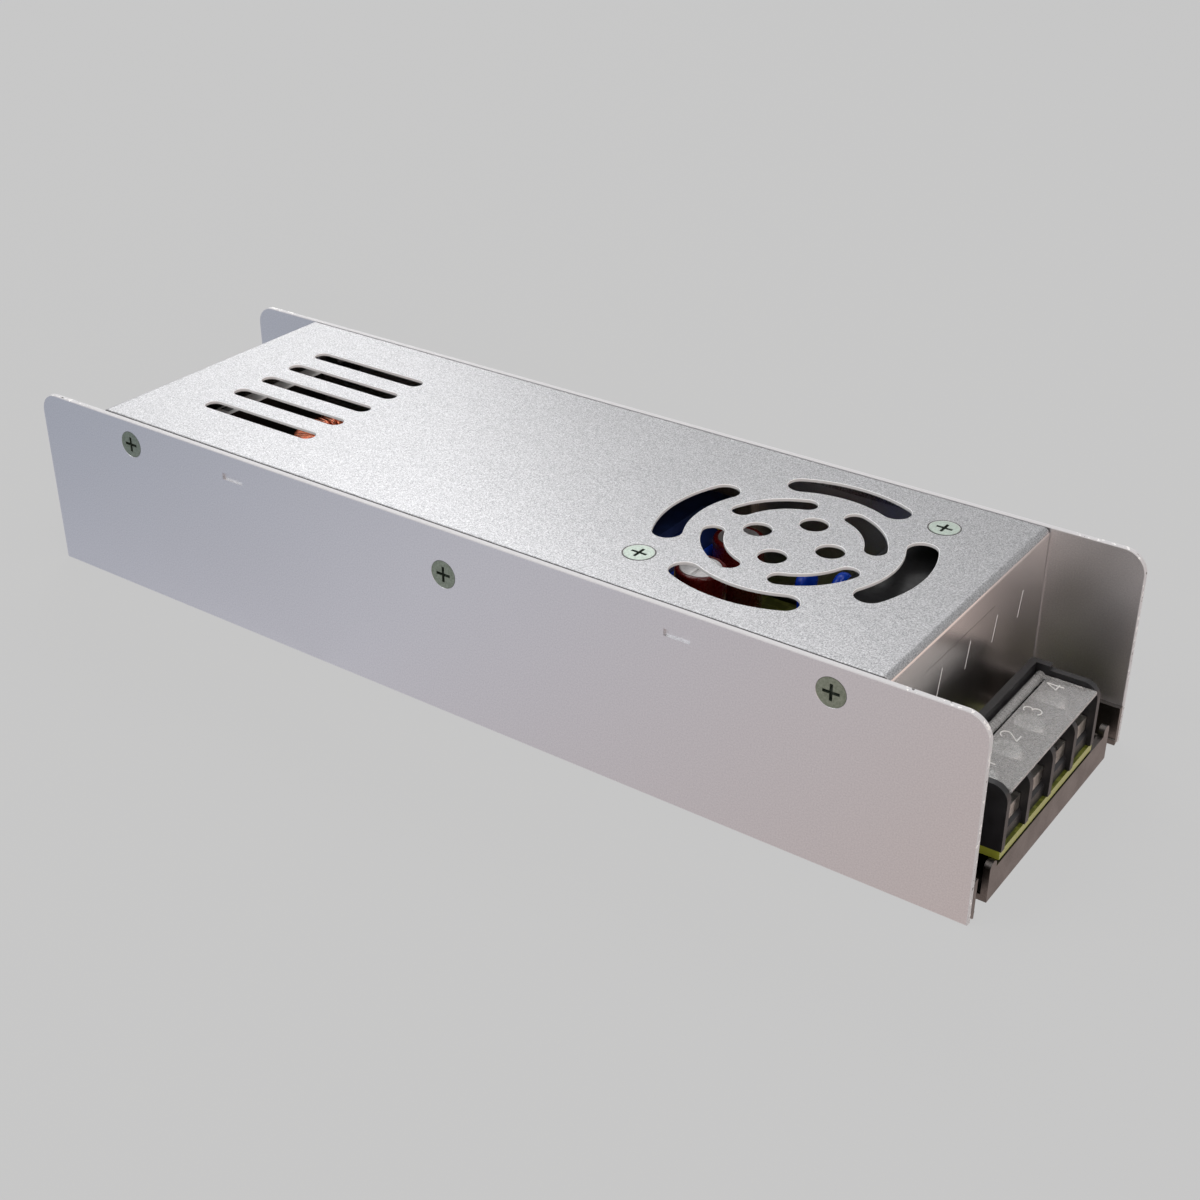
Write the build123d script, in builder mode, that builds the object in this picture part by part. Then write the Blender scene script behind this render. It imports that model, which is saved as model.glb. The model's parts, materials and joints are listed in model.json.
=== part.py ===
from build123d import *
import os

# Slim enclosed power supply: folded aluminium case, board, terminals at both ends
#
# Frame: origin at the bottom centre of the case, millimetres.
# X runs along the case with the output terminals at +X, -Y is the front side plate, +Z is up.

# Case
case_length = 220.0
case_width = 66.0
case_height = 40.0
plate_sheet = 1.2
tray_sheet = 1.2
cover_sheet = 0.6
plate_corner_radius = 4.5
plate_edge_break = 0.15

# Top cover
terminal_recess = 18.2
cover_side_gap = 0.15
cover_end_fold = 1.3
cover_side_fold = 0.45
cover_flange_depth = 4.3
cover_wall_clearance = 0.5
cover_relief = 0.9
tab_width = 11.0
tab_depth = 9.6
tab_corner = 1.5
thread_collar_radius = 2.4
thread_collar_length = 1.2

# Everything placed along the case keeps its share of the length when the case is stretched
lengthwise = case_length / 220.0

# Air slots near the input end
slot_count = 5
slot_pitch = 8.3
slot_width = 3.6
slot_length = 30.4
slot_centre_x = -61.0 * lengthwise
punched_edge_radius = 0.15

# Round grille near the output end
grille_x = 55.9 * lengthwise
grille_y = 0.5
outer_arc_radius = 22.95
outer_arc_width = 5.7
outer_arc_span = 51.5
inner_arc_radius = 14.75
inner_arc_width = 4.2
inner_arc_span = 49.5
hole_circle_radius = 7.5
grille_hole_radius = 2.7
grille_screw_spacing = 40.0

# Screws
side_screw_x = 82.5 * lengthwise
side_screw_height = case_height - 5.25
middle_screw_x = 1.4
middle_screw_height = case_height - 9.4
screw_head_radius = 2.8
screw_shank_radius = 1.5
screw_thread_play = 0.05
side_screw_length = 6.0
top_screw_length = 3.5
sink_play = 0.08
sink_hole_radius = 1.75
cross_length = 3.2
cross_width = 0.6
cross_depth = 0.7

# Locating stops pressed into the side plates
stop_x = 52.9 * lengthwise
stop_height = case_height - 5.0
stop_length = 5.4
stop_width = 1.4
stop_depth = 0.45

# Base tray
tray_flange_height = 8.2
tray_fold_radius = 1.5
lip_height = 6.0
lip_half_width = 25.7
lip_tab_width = 2.6
lip_tab_rise = 1.7
lip_relief_depth = 2.2
mount_spacing_x = 150.0
mount_spacing_y = 50.0
nut_flats = 5.5
nut_height = 2.4
mount_hole_radius = 1.5
mount_collar_radius = 2.6
mount_collar_height = 1.4

# Circuit board and what it stands on
board_bottom = 6.3
board_sheet = 1.6
board_margin = 0.6
board_end_margin = 1.0
board_front_setback = 0.2
standoff_x = 84.0 * lengthwise
standoff_edge_gap = 5.5
standoff_flats = 5.0
board_hole_radius = 1.6
pan_head_radius = 2.7
pan_head_height = 1.8
film_sheet = 0.25
film_margin = 1.2
film_hole_radius = 3.4

# Terminal blocks: local x is 0 at the front face and runs back as negative, z is 0 on the board
pole_pitch = 9.5
barrier_wall = 1.4
output_poles = 4
output_block_y = -2.2
input_poles = 3
input_block_y = 0.0
block_depth = 13.4
frame_wall = 1.4
frame_rise = 13.5
end_barrier_rise = 12.7
barrier_rise = 10.6
barrier_round = 3.0
ledge_rise = 9.0
ledge_depth = 1.4
lug_depth = 4.0
shelf_setback = 0.9
shelf_rise = 3.0
shelf_chamfer = 0.6
seat_rise = 5.0
contact_sheet = 1.0
contact_setback = 1.4
contact_play = 0.15
terminal_screw_back = 7.1
terminal_head_radius = 2.85
terminal_head_height = 2.35
terminal_head_play = 0.05
washer_side = 6.2
washer_sheet = 0.9
pocket_radius = 1.9
pocket_floor = 0.6
hinge_back = 10.8
hinge_rise = 11.3
hinge_barrel_radius = 0.9
hinge_pin_radius = 0.58
hinge_pin_play = 0.07
flap_sheet = 0.8
flap_side_play = 0.25
flap_setback = 0.2
flap_rear_gap = 1.5
flap_arm_width = 1.4

# Heat spreaders and the power packages on them
spreader_sheet = 3.0
spreader_length = 58.0
spreader_top = case_height - 4.7
package_width = 10.0
package_depth = 4.5
package_height = 15.0
tab_sheet = 1.3
tab_rise = 5.5
lead_width = 0.9
lead_rise = 4.0

# Input choke: ring core on a base, wound with round wire
choke_x = -54.0 * lengthwise
choke_y = 1.5
choke_outer_radius = 11.05
choke_inner_radius = 6.6
choke_core_height = case_height - 20.3
choke_base_rise = 3.0
choke_base_radius = 10.5
winding_sheet = 0.65
winding_ridge = 0.3
winding_ridge_width = 1.1
winding_ridges = 26

# Inrush resistor: white ceramic trough with a cement filling that shows in its end pocket
resistor_x = -76.6 * lengthwise
resistor_y = 1.0
resistor_length = 31.0
resistor_width = 4.2
resistor_top = case_height - 3.5
pocket_length = 5.0
pocket_width = 2.4
pocket_depth = 1.2
cement_rise = 0.9
bridge_width = 22.0
bridge_height = 15.0
bridge_depth = 3.5
bridge_gap = 0.4

# Fuse, film capacitor, varistor and disc capacitors
fuse_x = -62.0 * lengthwise
fuse_edge_gap = 6.5
fuse_radius = 2.6
fuse_length = 20.0
fuse_axis_rise = 5.2
fuse_cap_length = 5.0
clip_sheet = 0.4
film_box_x = -70.5 * lengthwise
film_box_length = 18.0
film_box_width = 8.0
film_box_height = 14.0
film_box_edge_gap = 7.5
box_corner = 0.8
disc_radius = 5.0
disc_sheet = 4.2
disc_lead_rise = 7.0
varistor_x = -47.0 * lengthwise
varistor_edge_gap = 8.5
disc_capacitor_places = [(52.3 * lengthwise, 12.8), (57.3 * lengthwise, 18.1)]

# Can capacitors: a bulk pair before the transformer, three at the output
bulk_can_radius = 9.0
bulk_can_height = case_height - 13.0
bulk_can_places = [(-23.5 * lengthwise, -10.5), (-23.5 * lengthwise, 10.5)]
output_can_radius = 5.0
output_can_height = 22.0
output_can_places = [
    (37.8 * lengthwise, -16.5),
    (37.8 * lengthwise, -1.7),
    (37.3 * lengthwise, 12.7),
]

# Transformer: coil axis along Y, ferrite legs under and over it, yokes at its ends
transformer_x = 18.6 * lengthwise
transformer_y = 7.0
transformer_length = 36.0
transformer_height = 23.0
coil_half_width = 13.2
coil_corner = 4.0
coil_gap = 0.2
yoke_thickness = 7.0
yoke_width = 20.0
leg_sheet = 2.2
leg_width = 14.0
core_leg_side = 8.0

# Output choke and the upright control card
output_choke_x = 77.0 * lengthwise
output_choke_y = 7.0
output_choke_width = 20.0
output_choke_length = 28.0
output_choke_height = case_height - 12.0
output_choke_corner = 2.0
card_x = -3.0 * lengthwise
card_sheet = 1.2
card_half_width = 14.0
card_height = 20.0
chip_sheet = 1.8
chip_length = 9.0
chip_width = 6.0

# Worked-out values
half_length = case_length / 2
half_width = case_width / 2
inner_half_width = half_width - plate_sheet
cover_half_length = half_length - terminal_recess
cover_half_width = inner_half_width - cover_side_gap
board_top = board_bottom + board_sheet
cover_bottom = board_top + cover_wall_clearance
output_block_width = output_poles * pole_pitch + barrier_wall
input_block_width = input_poles * pole_pitch + barrier_wall
spreader_bottom = tray_flange_height + cover_wall_clearance
board_half_length = cover_half_length - cover_sheet - board_end_margin
board_half_width = inner_half_width - tray_sheet - board_margin
standoff_y = board_half_width - standoff_edge_gap

os.makedirs("parts", exist_ok=True)


def side_face(side):
    """Outer face of a side plate: local x runs along the case, local y up, normal outwards."""
    return Plane(origin=(0, side * half_width, 0), x_dir=(-side, 0, 0), z_dir=(0, side, 0))


def block_seat(end, across):
    """Board plane under a terminal block: local x points out of the case's end."""
    return Plane(origin=(end * half_length, across, board_top), x_dir=(end, 0, 0), z_dir=(0, 0, 1))


def section_plane(seat, across):
    """Upright plane through a block at a distance across it: local x out, local y up."""
    return Plane(
        origin=seat.from_local_coords((0, across, 0)), x_dir=seat.x_dir, z_dir=-seat.y_dir
    )


def pole_places(poles):
    """Distances of the poles from the middle of a terminal block."""
    return [(k - (poles - 1) / 2) * pole_pitch for k in range(poles)]


def countersunk_screw(cone_depth, length):
    """Cross-head screw with a countersunk head, head face at z = 0, shank pointing down."""
    with BuildPart() as screw:
        with BuildSketch(Plane.XZ):
            with BuildLine():
                Polyline(
                    (0, 0),
                    (screw_head_radius, 0),
                    (screw_shank_radius, -cone_depth),
                    (screw_shank_radius, -length),
                    (0, -length),
                    close=True,
                )
            make_face()
        revolve(axis=Axis.Z)
        chamfer(screw.edges().sort_by(Axis.Z)[0], screw_shank_radius / 4)
        with BuildSketch():
            Rectangle(cross_length, cross_width)
            Rectangle(cross_width, cross_length)
        extrude(amount=-cross_depth, mode=Mode.SUBTRACT)
    return screw.part


# Side screw places on a plate, as (x along the case, height)
screw_places = [
    (-side_screw_x, side_screw_height),
    (middle_screw_x, middle_screw_height),
    (side_screw_x, side_screw_height),
]

# Side plates, one flat sheet each, with rounded top corners and pressed locating stops
for side, plate_name in ((-1, "side_plate_front"), (1, "side_plate_back")):
    face = side_face(side)
    with BuildPart() as side_plate:
        with BuildSketch(face):
            with Locations((0, case_height / 2)):
                Rectangle(case_length, case_height)
            fillet(vertices().group_by(Axis.Y)[-1], plate_corner_radius)
        extrude(amount=-plate_sheet)
        rims = side_plate.faces().filter_by(Axis.Y).edges()
        chamfer(rims, plate_edge_break)
        with Locations(face):
            with Locations(*[(-side * x, height) for x, height in screw_places]):
                CounterSinkHole(
                    radius=sink_hole_radius,
                    counter_sink_radius=screw_head_radius + sink_play,
                    counter_sink_angle=90,
                )
        with BuildSketch(face):
            with Locations((-stop_x, stop_height), (stop_x, stop_height)):
                Rectangle(stop_length, stop_width)
        extrude(amount=-stop_depth, mode=Mode.SUBTRACT)
        with BuildSketch(face.offset(-plate_sheet)):
            with Locations((-stop_x, stop_height), (stop_x, stop_height)):
                Rectangle(stop_length, stop_width)
        extrude(amount=-stop_depth)
    side_plate.part.label = plate_name
    export_step(side_plate.part, f"parts/{plate_name}.step")

# Side screws: countersunk flush into the plates, three on each side
one_side_screw = countersunk_screw(plate_sheet, side_screw_length)
with BuildPart() as side_screws:
    for side in (-1, 1):
        with Locations(side_face(side)):
            with Locations(*[(-side * x, height) for x, height in screw_places]):
                add(one_side_screw)
side_screws.part.label = "side_screws"
export_step(side_screws.part, "parts/side_screws.step")

# Top cover: one folded sheet with two end walls, side flanges and screw tabs
cover_top = Plane.XY.offset(case_height)
grille_diagonal = grille_screw_spacing / 2
grille_screw_places = [
    (grille_x - grille_diagonal, grille_y - grille_diagonal),
    (grille_x + grille_diagonal, grille_y + grille_diagonal),
]
wall_height = case_height - cover_bottom
cavity_height = wall_height - cover_sheet
with BuildPart() as top_cover:
    with BuildSketch(Plane.XZ):
        with Locations((0, cover_bottom + wall_height / 2)):
            Rectangle(2 * cover_half_length, wall_height)
        fillet(vertices().group_by(Axis.Y)[-1], cover_end_fold)
    extrude(amount=cover_half_width, both=True)
    long_edges = top_cover.edges().filter_by(Axis.X).group_by(Axis.Z)[-1]
    fillet(long_edges, cover_side_fold)
    # The hollow leaves the sheet on the top, the ends and the long sides
    with BuildSketch(Plane.XZ):
        with Locations((0, cover_bottom + cavity_height / 2)):
            Rectangle(2 * (cover_half_length - cover_sheet), cavity_height)
        fillet(vertices().group_by(Axis.Y)[-1], cover_end_fold - cover_sheet)
    extrude(amount=cover_half_width - cover_sheet, both=True, mode=Mode.SUBTRACT)
    # The long sides are cut back to a shallow flange with a tab at each end screw
    flange_bottom = case_height - cover_flange_depth
    window_height = flange_bottom - cover_bottom
    window_half_length = cover_half_length - cover_sheet
    with BuildSketch(Plane.XZ):
        with Locations((0, cover_bottom + window_height / 2)):
            Rectangle(2 * window_half_length, window_height)
        with Locations(*[(s * (window_half_length - cover_relief / 2), flange_bottom) for s in (-1, 1)]):
            Rectangle(cover_relief, 2 * (cover_flange_depth - cover_end_fold))
        tab_height = tab_depth - cover_flange_depth
        with Locations(*[(s * side_screw_x, flange_bottom - tab_height / 2) for s in (-1, 1)]):
            RectangleRounded(tab_width, tab_height + 2 * tab_corner, tab_corner, mode=Mode.SUBTRACT)
    extrude(amount=case_width, both=True, mode=Mode.SUBTRACT)
    # Thread collars drawn inwards out of the tabs
    for side in (-1, 1):
        tab_face = side_face(side).offset(-plate_sheet - cover_side_gap)
        tab_places = [(s * side_screw_x, side_screw_height) for s in (-1, 1)]
        with BuildSketch(tab_face.offset(-cover_sheet)):
            with Locations(*tab_places):
                Circle(thread_collar_radius)
        extrude(amount=-thread_collar_length)
        with BuildSketch(tab_face):
            with Locations(*tab_places):
                Circle(screw_shank_radius + screw_thread_play)
        extrude(amount=-cover_sheet - thread_collar_length, mode=Mode.SUBTRACT)
    # Air slots with full-round ends
    with BuildSketch(cover_top):
        with Locations((slot_centre_x, 0)):
            with GridLocations(0, slot_pitch, 1, slot_count):
                SlotOverall(slot_length, slot_width)
    extrude(amount=-cover_sheet, mode=Mode.SUBTRACT)
    # Round grille: four wide arcs, four narrow arcs between them and four holes
    with BuildSketch(cover_top):
        with Locations((grille_x, grille_y)):
            with PolarLocations(0, 4):
                SlotArc(
                    CenterArc((0, 0), outer_arc_radius, -outer_arc_span / 2, outer_arc_span),
                    outer_arc_width,
                )
            with PolarLocations(0, 4, start_angle=45):
                SlotArc(
                    CenterArc((0, 0), inner_arc_radius, -inner_arc_span / 2, inner_arc_span),
                    inner_arc_width,
                )
            with PolarLocations(hole_circle_radius, 4):
                Circle(grille_hole_radius)
    extrude(amount=-cover_sheet, mode=Mode.SUBTRACT)
    # The punch leaves every opening's upper edge slightly rounded
    top_face = top_cover.faces().filter_by(Axis.Z).sort_by(Axis.Z)[-1]
    punched_edges = [edge for wire in top_face.inner_wires() for edge in wire.edges()]
    fillet(punched_edges, punched_edge_radius)
    # Countersunk holes beside the grille
    with Locations(cover_top):
        with Locations(*grille_screw_places):
            CounterSinkHole(
                radius=screw_shank_radius + screw_thread_play,
                counter_sink_radius=screw_head_radius + sink_play,
                depth=case_height,
                counter_sink_angle=90,
            )
top_cover.part.label = "top_cover"
export_step(top_cover.part, "parts/top_cover.step")

# Base tray: folded channel with a lip at each end and a relief notch beside each fold
tray_half_width = inner_half_width
lip_top = lip_height + lip_tab_rise
with BuildPart() as base_tray:
    with BuildSketch(Plane.YZ):
        with Locations((0, tray_flange_height / 2)):
            Rectangle(2 * tray_half_width, tray_flange_height)
        fillet(vertices().group_by(Axis.Y)[0], tray_fold_radius)
        with BuildSketch(mode=Mode.PRIVATE) as channel:
            with Locations((0, tray_sheet + tray_flange_height / 2)):
                Rectangle(2 * (tray_half_width - tray_sheet), tray_flange_height)
            fillet(vertices().group_by(Axis.Y)[0], tray_fold_radius - tray_sheet)
        add(channel.sketch_local, mode=Mode.SUBTRACT)
    extrude(amount=half_length, both=True)
    for end in (-1, 1):
        lip_face = Plane(origin=(end * half_length, 0, 0), x_dir=(0, end, 0), z_dir=(end, 0, 0))
        # Folded lip with a rounded locating tab at each end
        with BuildSketch(lip_face):
            with Locations((0, lip_height / 2)):
                Rectangle(2 * lip_half_width, lip_height)
            tab_middle = lip_half_width - lip_tab_width / 2
            with Locations((-tab_middle, lip_top / 2), (tab_middle, lip_top / 2)):
                RectangleRounded(lip_tab_width, lip_top, lip_tab_width / 2 - 0.05)
                with Locations((0, -lip_tab_width / 2)):
                    Rectangle(lip_tab_width, lip_top - lip_tab_width)
        extrude(amount=-tray_sheet)
        # Relief notches between the lip and the side flanges
        notch_width = tray_half_width - tray_sheet - lip_half_width
        notch_middle = lip_half_width + notch_width / 2
        with BuildSketch(Plane.XY):
            with Locations(*[(end * (half_length - lip_relief_depth / 2), s * notch_middle) for s in (-1, 1)]):
                Rectangle(lip_relief_depth, notch_width)
        extrude(amount=tray_sheet, mode=Mode.SUBTRACT)
    # Drawn thread collars for the mounting screws
    with BuildSketch(Plane.XY.offset(tray_sheet)):
        with GridLocations(mount_spacing_x, mount_spacing_y, 2, 2):
            Circle(mount_collar_radius)
    extrude(amount=mount_collar_height)
    with BuildSketch():
        with GridLocations(mount_spacing_x, mount_spacing_y, 2, 2):
            Circle(mount_hole_radius)
    extrude(amount=tray_sheet + mount_collar_height, mode=Mode.SUBTRACT)
base_tray.part.label = "base_tray"
export_step(base_tray.part, "parts/base_tray.step")

# Top screws beside the grille and the nuts pressed under the cover that hold them
one_top_screw = countersunk_screw(screw_head_radius - screw_shank_radius, top_screw_length)
with BuildPart() as top_screws:
    with Locations(cover_top):
        with Locations(*grille_screw_places):
            add(one_top_screw)
top_screws.part.label = "top_screws"
export_step(top_screws.part, "parts/top_screws.step")

with BuildPart() as press_nuts:
    with BuildSketch(Plane.XY.offset(case_height - cover_sheet)):
        with Locations(*grille_screw_places):
            RegularPolygon(nut_flats / 2, 6, major_radius=False)
    extrude(amount=-nut_height)
    with Locations(cover_top.offset(-cover_sheet)):
        with Locations(*grille_screw_places):
            CounterSinkHole(
                radius=screw_shank_radius + screw_thread_play,
                counter_sink_radius=screw_head_radius + sink_play - cover_sheet,
                counter_sink_angle=90,
            )
press_nuts.part.label = "press_nuts"
export_step(press_nuts.part, "parts/press_nuts.step")

# Where the board is held down
standoff_places = [
    (x, y) for x in (-standoff_x, 0, standoff_x) for y in (-standoff_y, standoff_y)
]

# Threaded hexagonal standoffs on the tray
with BuildPart() as board_standoffs:
    with BuildSketch(Plane.XY.offset(tray_sheet)):
        with Locations(*standoff_places):
            RegularPolygon(standoff_flats / 2, 6, major_radius=False)
            Circle(screw_shank_radius + screw_thread_play, mode=Mode.SUBTRACT)
    extrude(amount=board_bottom - tray_sheet)
board_standoffs.part.label = "board_standoffs"
export_step(board_standoffs.part, "parts/board_standoffs.step")

# Insulating film lying on the tray under the board
with BuildPart() as insulating_film:
    with BuildSketch(Plane.XY.offset(tray_sheet)):
        Rectangle(
            2 * (cover_half_length - film_margin), 2 * (tray_half_width - tray_sheet - film_margin)
        )
        with Locations(*standoff_places):
            Circle(film_hole_radius, mode=Mode.SUBTRACT)
        with GridLocations(mount_spacing_x, mount_spacing_y, 2, 2):
            Circle(film_hole_radius, mode=Mode.SUBTRACT)
    extrude(amount=film_sheet)
insulating_film.part.label = "insulating_film"
export_step(insulating_film.part, "parts/insulating_film.step")

# Circuit board: wide between the end walls, with a tongue out to each terminal block
tongue_length = half_length - board_front_setback - board_half_length
tongue_middle = board_half_length + tongue_length / 2
with BuildPart() as circuit_board:
    with BuildSketch(Plane.XY.offset(board_bottom)):
        Rectangle(2 * board_half_length, 2 * board_half_width)
        with Locations((tongue_middle, output_block_y)):
            Rectangle(tongue_length, output_block_width)
        with Locations((-tongue_middle, input_block_y)):
            Rectangle(tongue_length, input_block_width)
        with Locations(*standoff_places):
            Circle(board_hole_radius, mode=Mode.SUBTRACT)
    extrude(amount=board_sheet)
circuit_board.part.label = "circuit_board"
export_step(circuit_board.part, "parts/circuit_board.step")

# Pan-head screws that hold the board on its standoffs
with BuildPart() as board_screws:
    with BuildSketch(Plane.XY.offset(board_top)):
        with Locations(*standoff_places):
            Circle(pan_head_radius)
    extrude(amount=pan_head_height)
    fillet(board_screws.edges().group_by(Axis.Z)[-1], pan_head_height / 2)
    with BuildSketch(Plane.XY.offset(board_top)):
        with Locations(*standoff_places):
            Circle(screw_shank_radius)
    extrude(amount=-(board_top - tray_sheet - film_sheet - mount_collar_height))
    with BuildSketch(Plane.XY.offset(board_top + pan_head_height)):
        with Locations(*standoff_places):
            Rectangle(cross_length, cross_width)
            Rectangle(cross_width, cross_length)
    extrude(amount=-cross_depth, mode=Mode.SUBTRACT)
board_screws.part.label = "board_screws"
export_step(board_screws.part, "parts/board_screws.step")

# Both terminal blocks, as (name, end of the case, place across, poles)
blocks = [
    ("output", 1, output_block_y, output_poles),
    ("input", -1, input_block_y, input_poles),
]
for block_name, end, across, poles in blocks:
    seat = block_seat(end, across)
    block_half_width = (poles * pole_pitch + barrier_wall) / 2
    middle = section_plane(seat, 0)
    inner_half_pole = (pole_pitch - barrier_wall) / 2

    # Moulded barrier block: base with a front shelf, a rear frame and a wall beside each pole
    with BuildPart() as terminal_block:
        with BuildSketch(middle):
            with BuildLine():
                Polyline(
                    (-shelf_setback, 0),
                    (-shelf_setback, shelf_rise - shelf_chamfer),
                    (-shelf_setback - shelf_chamfer, shelf_rise),
                    (-contact_setback - contact_sheet - contact_play, shelf_rise),
                    (-contact_setback - contact_sheet - contact_play, seat_rise),
                    (-block_depth + frame_wall + ledge_depth, seat_rise),
                    (-block_depth + frame_wall + ledge_depth, ledge_rise),
                    (-block_depth + frame_wall, ledge_rise),
                    (-block_depth + frame_wall, frame_rise),
                    (-block_depth, frame_rise),
                    (-block_depth, 0),
                    close=True,
                )
            make_face()
        extrude(amount=block_half_width, both=True)
        # Inner barriers, rounded at the front and lowered under the cover's hinge barrel
        for k in range(1, poles):
            with BuildSketch(section_plane(seat, (k - poles / 2) * pole_pitch)):
                with BuildLine():
                    Polyline(
                        (0, 0),
                        (0, barrier_rise),
                        (-hinge_back + 2 * hinge_barrel_radius, barrier_rise),
                        (-hinge_back + 2 * hinge_barrel_radius, ledge_rise),
                        (-block_depth + frame_wall / 2, ledge_rise),
                        (-block_depth + frame_wall / 2, 0),
                        close=True,
                    )
                make_face()
                front = vertices().group_by(Axis.X)[-1]
                fillet(front.sort_by(Axis.Y)[-1], barrier_round)
            extrude(amount=barrier_wall / 2, both=True)
        # End walls, higher than the flap, with the hinge lug behind
        for s in (-1, 1):
            with BuildSketch(section_plane(seat, s * (block_half_width - barrier_wall / 2))):
                with BuildLine():
                    Polyline(
                        (0, 0),
                        (0, end_barrier_rise),
                        (-block_depth + lug_depth, end_barrier_rise),
                        (-block_depth + lug_depth, frame_rise),
                        (-block_depth, frame_rise),
                        (-block_depth, 0),
                        close=True,
                    )
                make_face()
                front = vertices().group_by(Axis.X)[-1]
                fillet(front.sort_by(Axis.Y)[-1], barrier_round)
            extrude(amount=barrier_wall / 2, both=True)
        # Bearing holes for the flap's pins, through both end walls
        with BuildSketch(middle):
            with Locations((-hinge_back, hinge_rise)):
                Circle(hinge_pin_radius + hinge_pin_play)
        extrude(amount=block_half_width, both=True, mode=Mode.SUBTRACT)
        # A blind pocket under each contact for the screw's end
        with BuildSketch(seat.offset(pocket_floor)):
            with Locations(*[(-terminal_screw_back, y) for y in pole_places(poles)]):
                Circle(pocket_radius)
        extrude(amount=seat_rise - pocket_floor, mode=Mode.SUBTRACT)
    terminal_block.part.label = f"{block_name}_terminal_block"
    export_step(terminal_block.part, f"parts/{block_name}_terminal_block.step")

    # Tinned contacts, one in each pole, bent down over the front of the seat
    contact_back = block_depth - frame_wall - ledge_depth - contact_play
    with BuildPart() as contacts:
        for y in pole_places(poles):
            with BuildSketch(section_plane(seat, y)):
                with BuildLine():
                    Polyline(
                        (-contact_setback, shelf_rise + contact_play),
                        (-contact_setback, seat_rise + contact_sheet),
                        (-contact_back, seat_rise + contact_sheet),
                        (-contact_back, seat_rise),
                        (-contact_setback - contact_sheet, seat_rise),
                        (-contact_setback - contact_sheet, shelf_rise + contact_play),
                        close=True,
                    )
                make_face()
            extrude(amount=inner_half_pole - contact_play, both=True)
        with BuildSketch(seat.offset(seat_rise)):
            with Locations(*[(-terminal_screw_back, y) for y in pole_places(poles)]):
                Circle(screw_shank_radius + screw_thread_play)
        extrude(amount=contact_sheet, mode=Mode.SUBTRACT)
    contacts.part.label = f"{block_name}_contacts"
    export_step(contacts.part, f"parts/{block_name}_contacts.step")

    # Square clamp washers, kept from turning by the barriers
    washer_bottom = seat_rise + contact_sheet
    with BuildPart() as clamp_washers:
        with BuildSketch(seat.offset(washer_bottom)):
            with Locations(*[(-terminal_screw_back, y) for y in pole_places(poles)]):
                RectangleRounded(washer_side, washer_side, washer_side / 8)
                Circle(screw_shank_radius + 2 * screw_thread_play, mode=Mode.SUBTRACT)
        extrude(amount=washer_sheet)
    clamp_washers.part.label = f"{block_name}_clamp_washers"
    export_step(clamp_washers.part, f"parts/{block_name}_clamp_washers.step")

    # One terminal screw in each pole
    head_bottom = washer_bottom + washer_sheet + terminal_head_play
    for number, y in enumerate(pole_places(poles), start=1):
        with BuildPart() as terminal_screw:
            with BuildSketch(seat.offset(head_bottom)):
                with Locations((-terminal_screw_back, y)):
                    Circle(terminal_head_radius)
            extrude(amount=terminal_head_height)
            fillet(terminal_screw.edges().group_by(Axis.Z)[-1], terminal_head_height / 5)
            with BuildSketch(seat.offset(head_bottom)):
                with Locations((-terminal_screw_back, y)):
                    Circle(screw_shank_radius)
            extrude(amount=-(head_bottom - pocket_floor - screw_shank_radius / 4))
            with BuildSketch(seat.offset(head_bottom + terminal_head_height)):
                with Locations((-terminal_screw_back, y)):
                    Rectangle(cross_length, cross_width)
                    Rectangle(cross_width, cross_length)
            extrude(amount=-cross_depth, mode=Mode.SUBTRACT)
        terminal_screw.part.label = f"{block_name}_screw_{number}"
        export_step(terminal_screw.part, f"parts/{block_name}_screw_{number}.step")

    # Clear flap over the screws: a flat plate, a hinge rod behind it and an arm at each end
    flap_half_width = block_half_width - barrier_wall - flap_side_play
    plate_rear = hinge_back - flap_rear_gap
    with BuildPart() as terminal_flap:
        with BuildSketch(middle):
            with Locations((-(plate_rear + flap_setback) / 2, hinge_rise)):
                Rectangle(plate_rear - flap_setback, flap_sheet)
        extrude(amount=flap_half_width, both=True)
        front_edges = terminal_flap.edges().filter_by(Axis.Y).group_by(Axis.X)[-1 if end > 0 else 0]
        fillet(front_edges, flap_sheet / 4)
        with BuildSketch(middle):
            with Locations((-hinge_back, hinge_rise)):
                Circle(hinge_barrel_radius)
        extrude(amount=flap_half_width, both=True)
        with BuildSketch(seat.offset(hinge_rise)):
            for s in (-1, 1):
                with Locations((-(hinge_back + plate_rear) / 2, s * (flap_half_width - flap_arm_width / 2))):
                    Rectangle(flap_rear_gap, flap_arm_width)
        extrude(amount=flap_sheet / 2, both=True)
        with BuildSketch(middle):
            with Locations((-hinge_back, hinge_rise)):
                Circle(hinge_pin_radius)
        extrude(amount=block_half_width - contact_play, both=True)
    terminal_flap.part.label = f"{block_name}_terminal_flap"
    export_step(terminal_flap.part, f"parts/{block_name}_terminal_flap.step")

# Heat spreaders: thick aluminium bars screwed to the side plates
for side, spreader_name in ((-1, "heat_spreader_front"), (1, "heat_spreader_back")):
    spreader_face = side_face(side).offset(-plate_sheet)
    spreader_height = spreader_top - spreader_bottom
    with BuildPart() as heat_spreader:
        with BuildSketch(spreader_face):
            with Locations((-side * middle_screw_x, spreader_bottom + spreader_height / 2)):
                RectangleRounded(spreader_length, spreader_height, plate_sheet)
            with Locations((-side * middle_screw_x, middle_screw_height)):
                Circle(screw_shank_radius + screw_thread_play, mode=Mode.SUBTRACT)
        extrude(amount=-spreader_sheet)
    heat_spreader.part.label = spreader_name
    export_step(heat_spreader.part, f"parts/{spreader_name}.step")

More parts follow.
